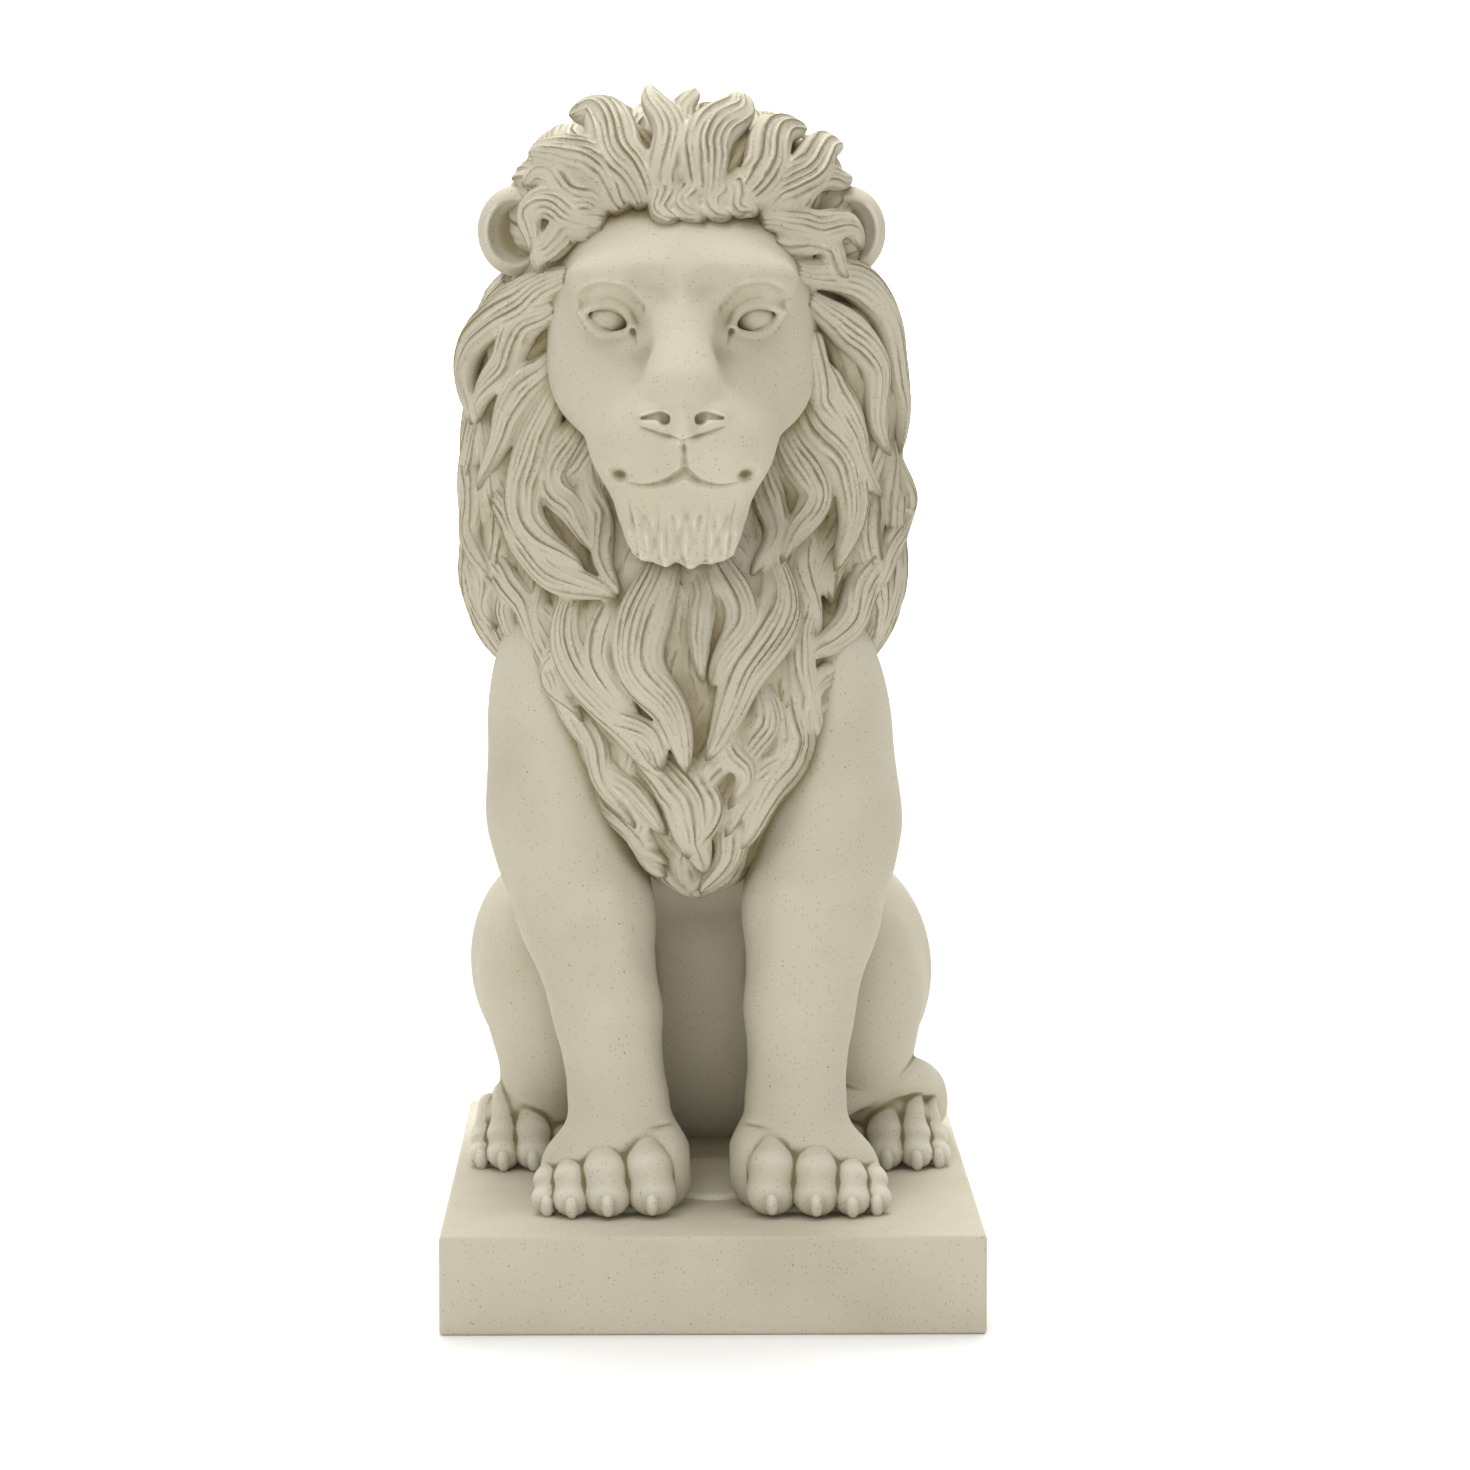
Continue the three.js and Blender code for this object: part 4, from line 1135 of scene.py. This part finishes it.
# %% The stone's own colour
CLOUDS_PER_METRE = 22.0


def cream_cast_stone():
    clouds = add_node(nodes, "ShaderNodeTexNoise", Vector=coords, Scale=CLOUDS_PER_METRE, Detail=4.0)
    return over_colour("#C3BCA9", "#BAB29D", range_of(clouds.outputs[0], 0.42, 0.75))


# %% [markdown]
# The wash and the painted light make the carving readable. The wide hollows get a thin brown that is
# partly wash and partly painted shade, the grooves between the strands a darker one that is also partly
# painted shade, and the ridges are painted paler than the stone as a painted highlight.

# %% Wash, painted shade and painted highlight
def attribute_of(name):
    return add_node(nodes, "ShaderNodeAttribute", {"attribute_name": name}).outputs["Fac"]


def wash_and_painted_light(colour):
    groove, hollow = attribute_of("groove"), attribute_of("hollow")
    # Painted highlight: the ridges of the strands are made paler than the stone.
    colour = over_colour(colour, "#DDD8C9", range_of(groove, -0.11, -0.02, 0.75, 0.0))
    # Partly a thin brown wash, partly painted shade: the wide hollows are darkened.
    colour = over_colour(colour, "#8F8058", range_of(hollow, 0.04, 0.3, 0.0, 0.8))
    # Partly a darker wash, partly painted shade: the grooves between the strands are darkened.
    return over_colour(colour, "#766945", range_of(groove, 0.01, 0.1, 0.0, 0.9))


# %% [markdown]
# Brown grains lie in the mix and small pits catch dirt. They come in three sizes, and only some of
# the cells of a pattern get one, so they're scattered and not in rows.

# %% Specks and pits
SPECKS = ((700.0, 0.6, 0.3, 0.3), (430.0, 0.88, 0.19, 0.5), (210.0, 0.93, 0.1, 0.6))
FADE_IN = 0.05


def specks(colour):
    for per_metre, chance, size, strength in SPECKS:
        cell = add_node(nodes, "ShaderNodeTexVoronoi", Vector=coords, Scale=per_metre)
        picked = add_node(nodes, "ShaderNodeSeparateColor", i0=cell.outputs["Color"]).outputs[0]
        dot = range_of(cell.outputs["Distance"], size * 0.5, size, strength, 0.0)
        speck = add_node(nodes, NUMBER, {"operation": "MULTIPLY"}, i0=dot,
                         i1=range_of(picked, chance, chance + FADE_IN))
        colour = over_colour(colour, "#5E5740", speck.outputs[0])
    return colour


# %% [markdown]
# Fine sand stands out of the cast surface. It's far too small for the mesh, so a bump in the
# material gives it, and it makes the highlights soft.

# %% The cast surface
GRAINS_PER_METRE = 900.0
SAND_HEIGHT = 0.0004


def sandy_surface():
    sand = add_node(nodes, "ShaderNodeTexNoise", Vector=coords, Scale=GRAINS_PER_METRE, Detail=2.0)
    relief = add_node(nodes, "ShaderNodeBump", Strength=0.12, Distance=SAND_HEIGHT,
                      Height=sand.outputs[0])
    return relief.outputs[0]


shader = add_node(nodes, "ShaderNodeBsdfPrincipled", Base_Color=specks(wash_and_painted_light(cream_cast_stone())),
                  Roughness=0.8, Specular_IOR_Level=0.25, Normal=sandy_surface())
add_node(nodes, "ShaderNodeOutputMaterial", Surface=shader.outputs[0])
for thing in pieces:
    thing.data.materials.clear()
    thing.data.materials.append(stone)
print("nodes in the material", len(nodes.nodes))

# %% [markdown]
# The camera stands where the photograph was taken: a little to the lion's right and a little above
# its chest, far enough away that the plinth's sides nearly run straight back.

# %% Camera
camera = bpy.data.objects.new("camera", bpy.data.cameras.new("camera"))
camera.data.lens = 118.4
camera.data.sensor_width = 36
camera.location = (-0.0124, -1.643, 0.3462)
camera.rotation_euler = (math.radians(84.23), 0, math.radians(-0.73))
bpy.context.collection.objects.link(camera)
bpy.context.scene.camera = camera
bpy.context.scene.view_settings.view_transform = "Standard"

# %% [markdown]
# The floor and the wall behind it are plain and pale, and the wall glows, so that the edge between
# them can't be seen.

# %% Floor and backdrop
def plain_sheet(name, corners, code, glow):
    sheet = mesh_object(name, corners, (), [(0, 1, 2, 3)])
    material = bpy.data.materials.new("pale_" + name)
    material.use_nodes = True
    inputs = material.node_tree.nodes["Principled BSDF"].inputs
    inputs["Base Color"].default_value = srgb(code)
    inputs["Roughness"].default_value = 0.9
    inputs["Emission Color"].default_value = (1, 1, 1, 1)
    inputs["Emission Strength"].default_value = glow
    sheet.data.materials.append(material)
    return sheet


floor = plain_sheet("floor", [(-5, -4, 0), (5, -4, 0), (5, 2, 0), (-5, 2, 0)], "#F4F4F2", 0.0)
backdrop = plain_sheet("backdrop", [(-5, 2, -0.01), (5, 2, -0.01), (5, 2, 4), (-5, 2, 4)], "#F4F4F2", 0.7)

# %% [markdown]
# The light is that of a white studio. A wide lamp above gives the soft shade under the chin and
# between the locks, one from the upper left models the face, a low one in front reaches in between
# the legs, and one behind brightens the floor and the haunches' rims.

# %% Light
world = bpy.data.worlds.new("studio")
world.use_nodes = True
world.node_tree.nodes["Background"].inputs[0].default_value = (1, 1, 1, 1)
world.node_tree.nodes["Background"].inputs[1].default_value = 0.45
bpy.context.scene.world = world


def lamp(name, place, aim, size, power):
    light = bpy.data.lights.new(name, "AREA")
    light.shape = "DISK"
    light.size = size
    light.energy = power
    thing = bpy.data.objects.new(name, light)
    to = np.subtract(aim, place)
    down = math.atan2(math.hypot(to[0], to[1]), -to[2])
    thing.location = place
    thing.rotation_euler = (down, 0, math.atan2(to[1], to[0]) - math.pi / 2)
    bpy.context.collection.objects.link(thing)


lamp("key", (-0.6, -1.3, 1.5), (0, 0, 0.22), 0.8, 5.5)
lamp("top", (0, 0.1, 2.2), (0, 0, 0.2), 1.6, 27)
lamp("low front", (-0.1, -2.4, 0.45), (0, 0, 0.1), 0.9, 10)
lamp("back", (0, 1.1, 1.7), (0, 1.1, 0), 1.2, 20)

# %% [markdown]
# Each piece now takes the place of the plain model's one solid, which is hidden.

# %% Hand over
for thing in pieces:
    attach(thing, "root")
    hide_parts(NODE)
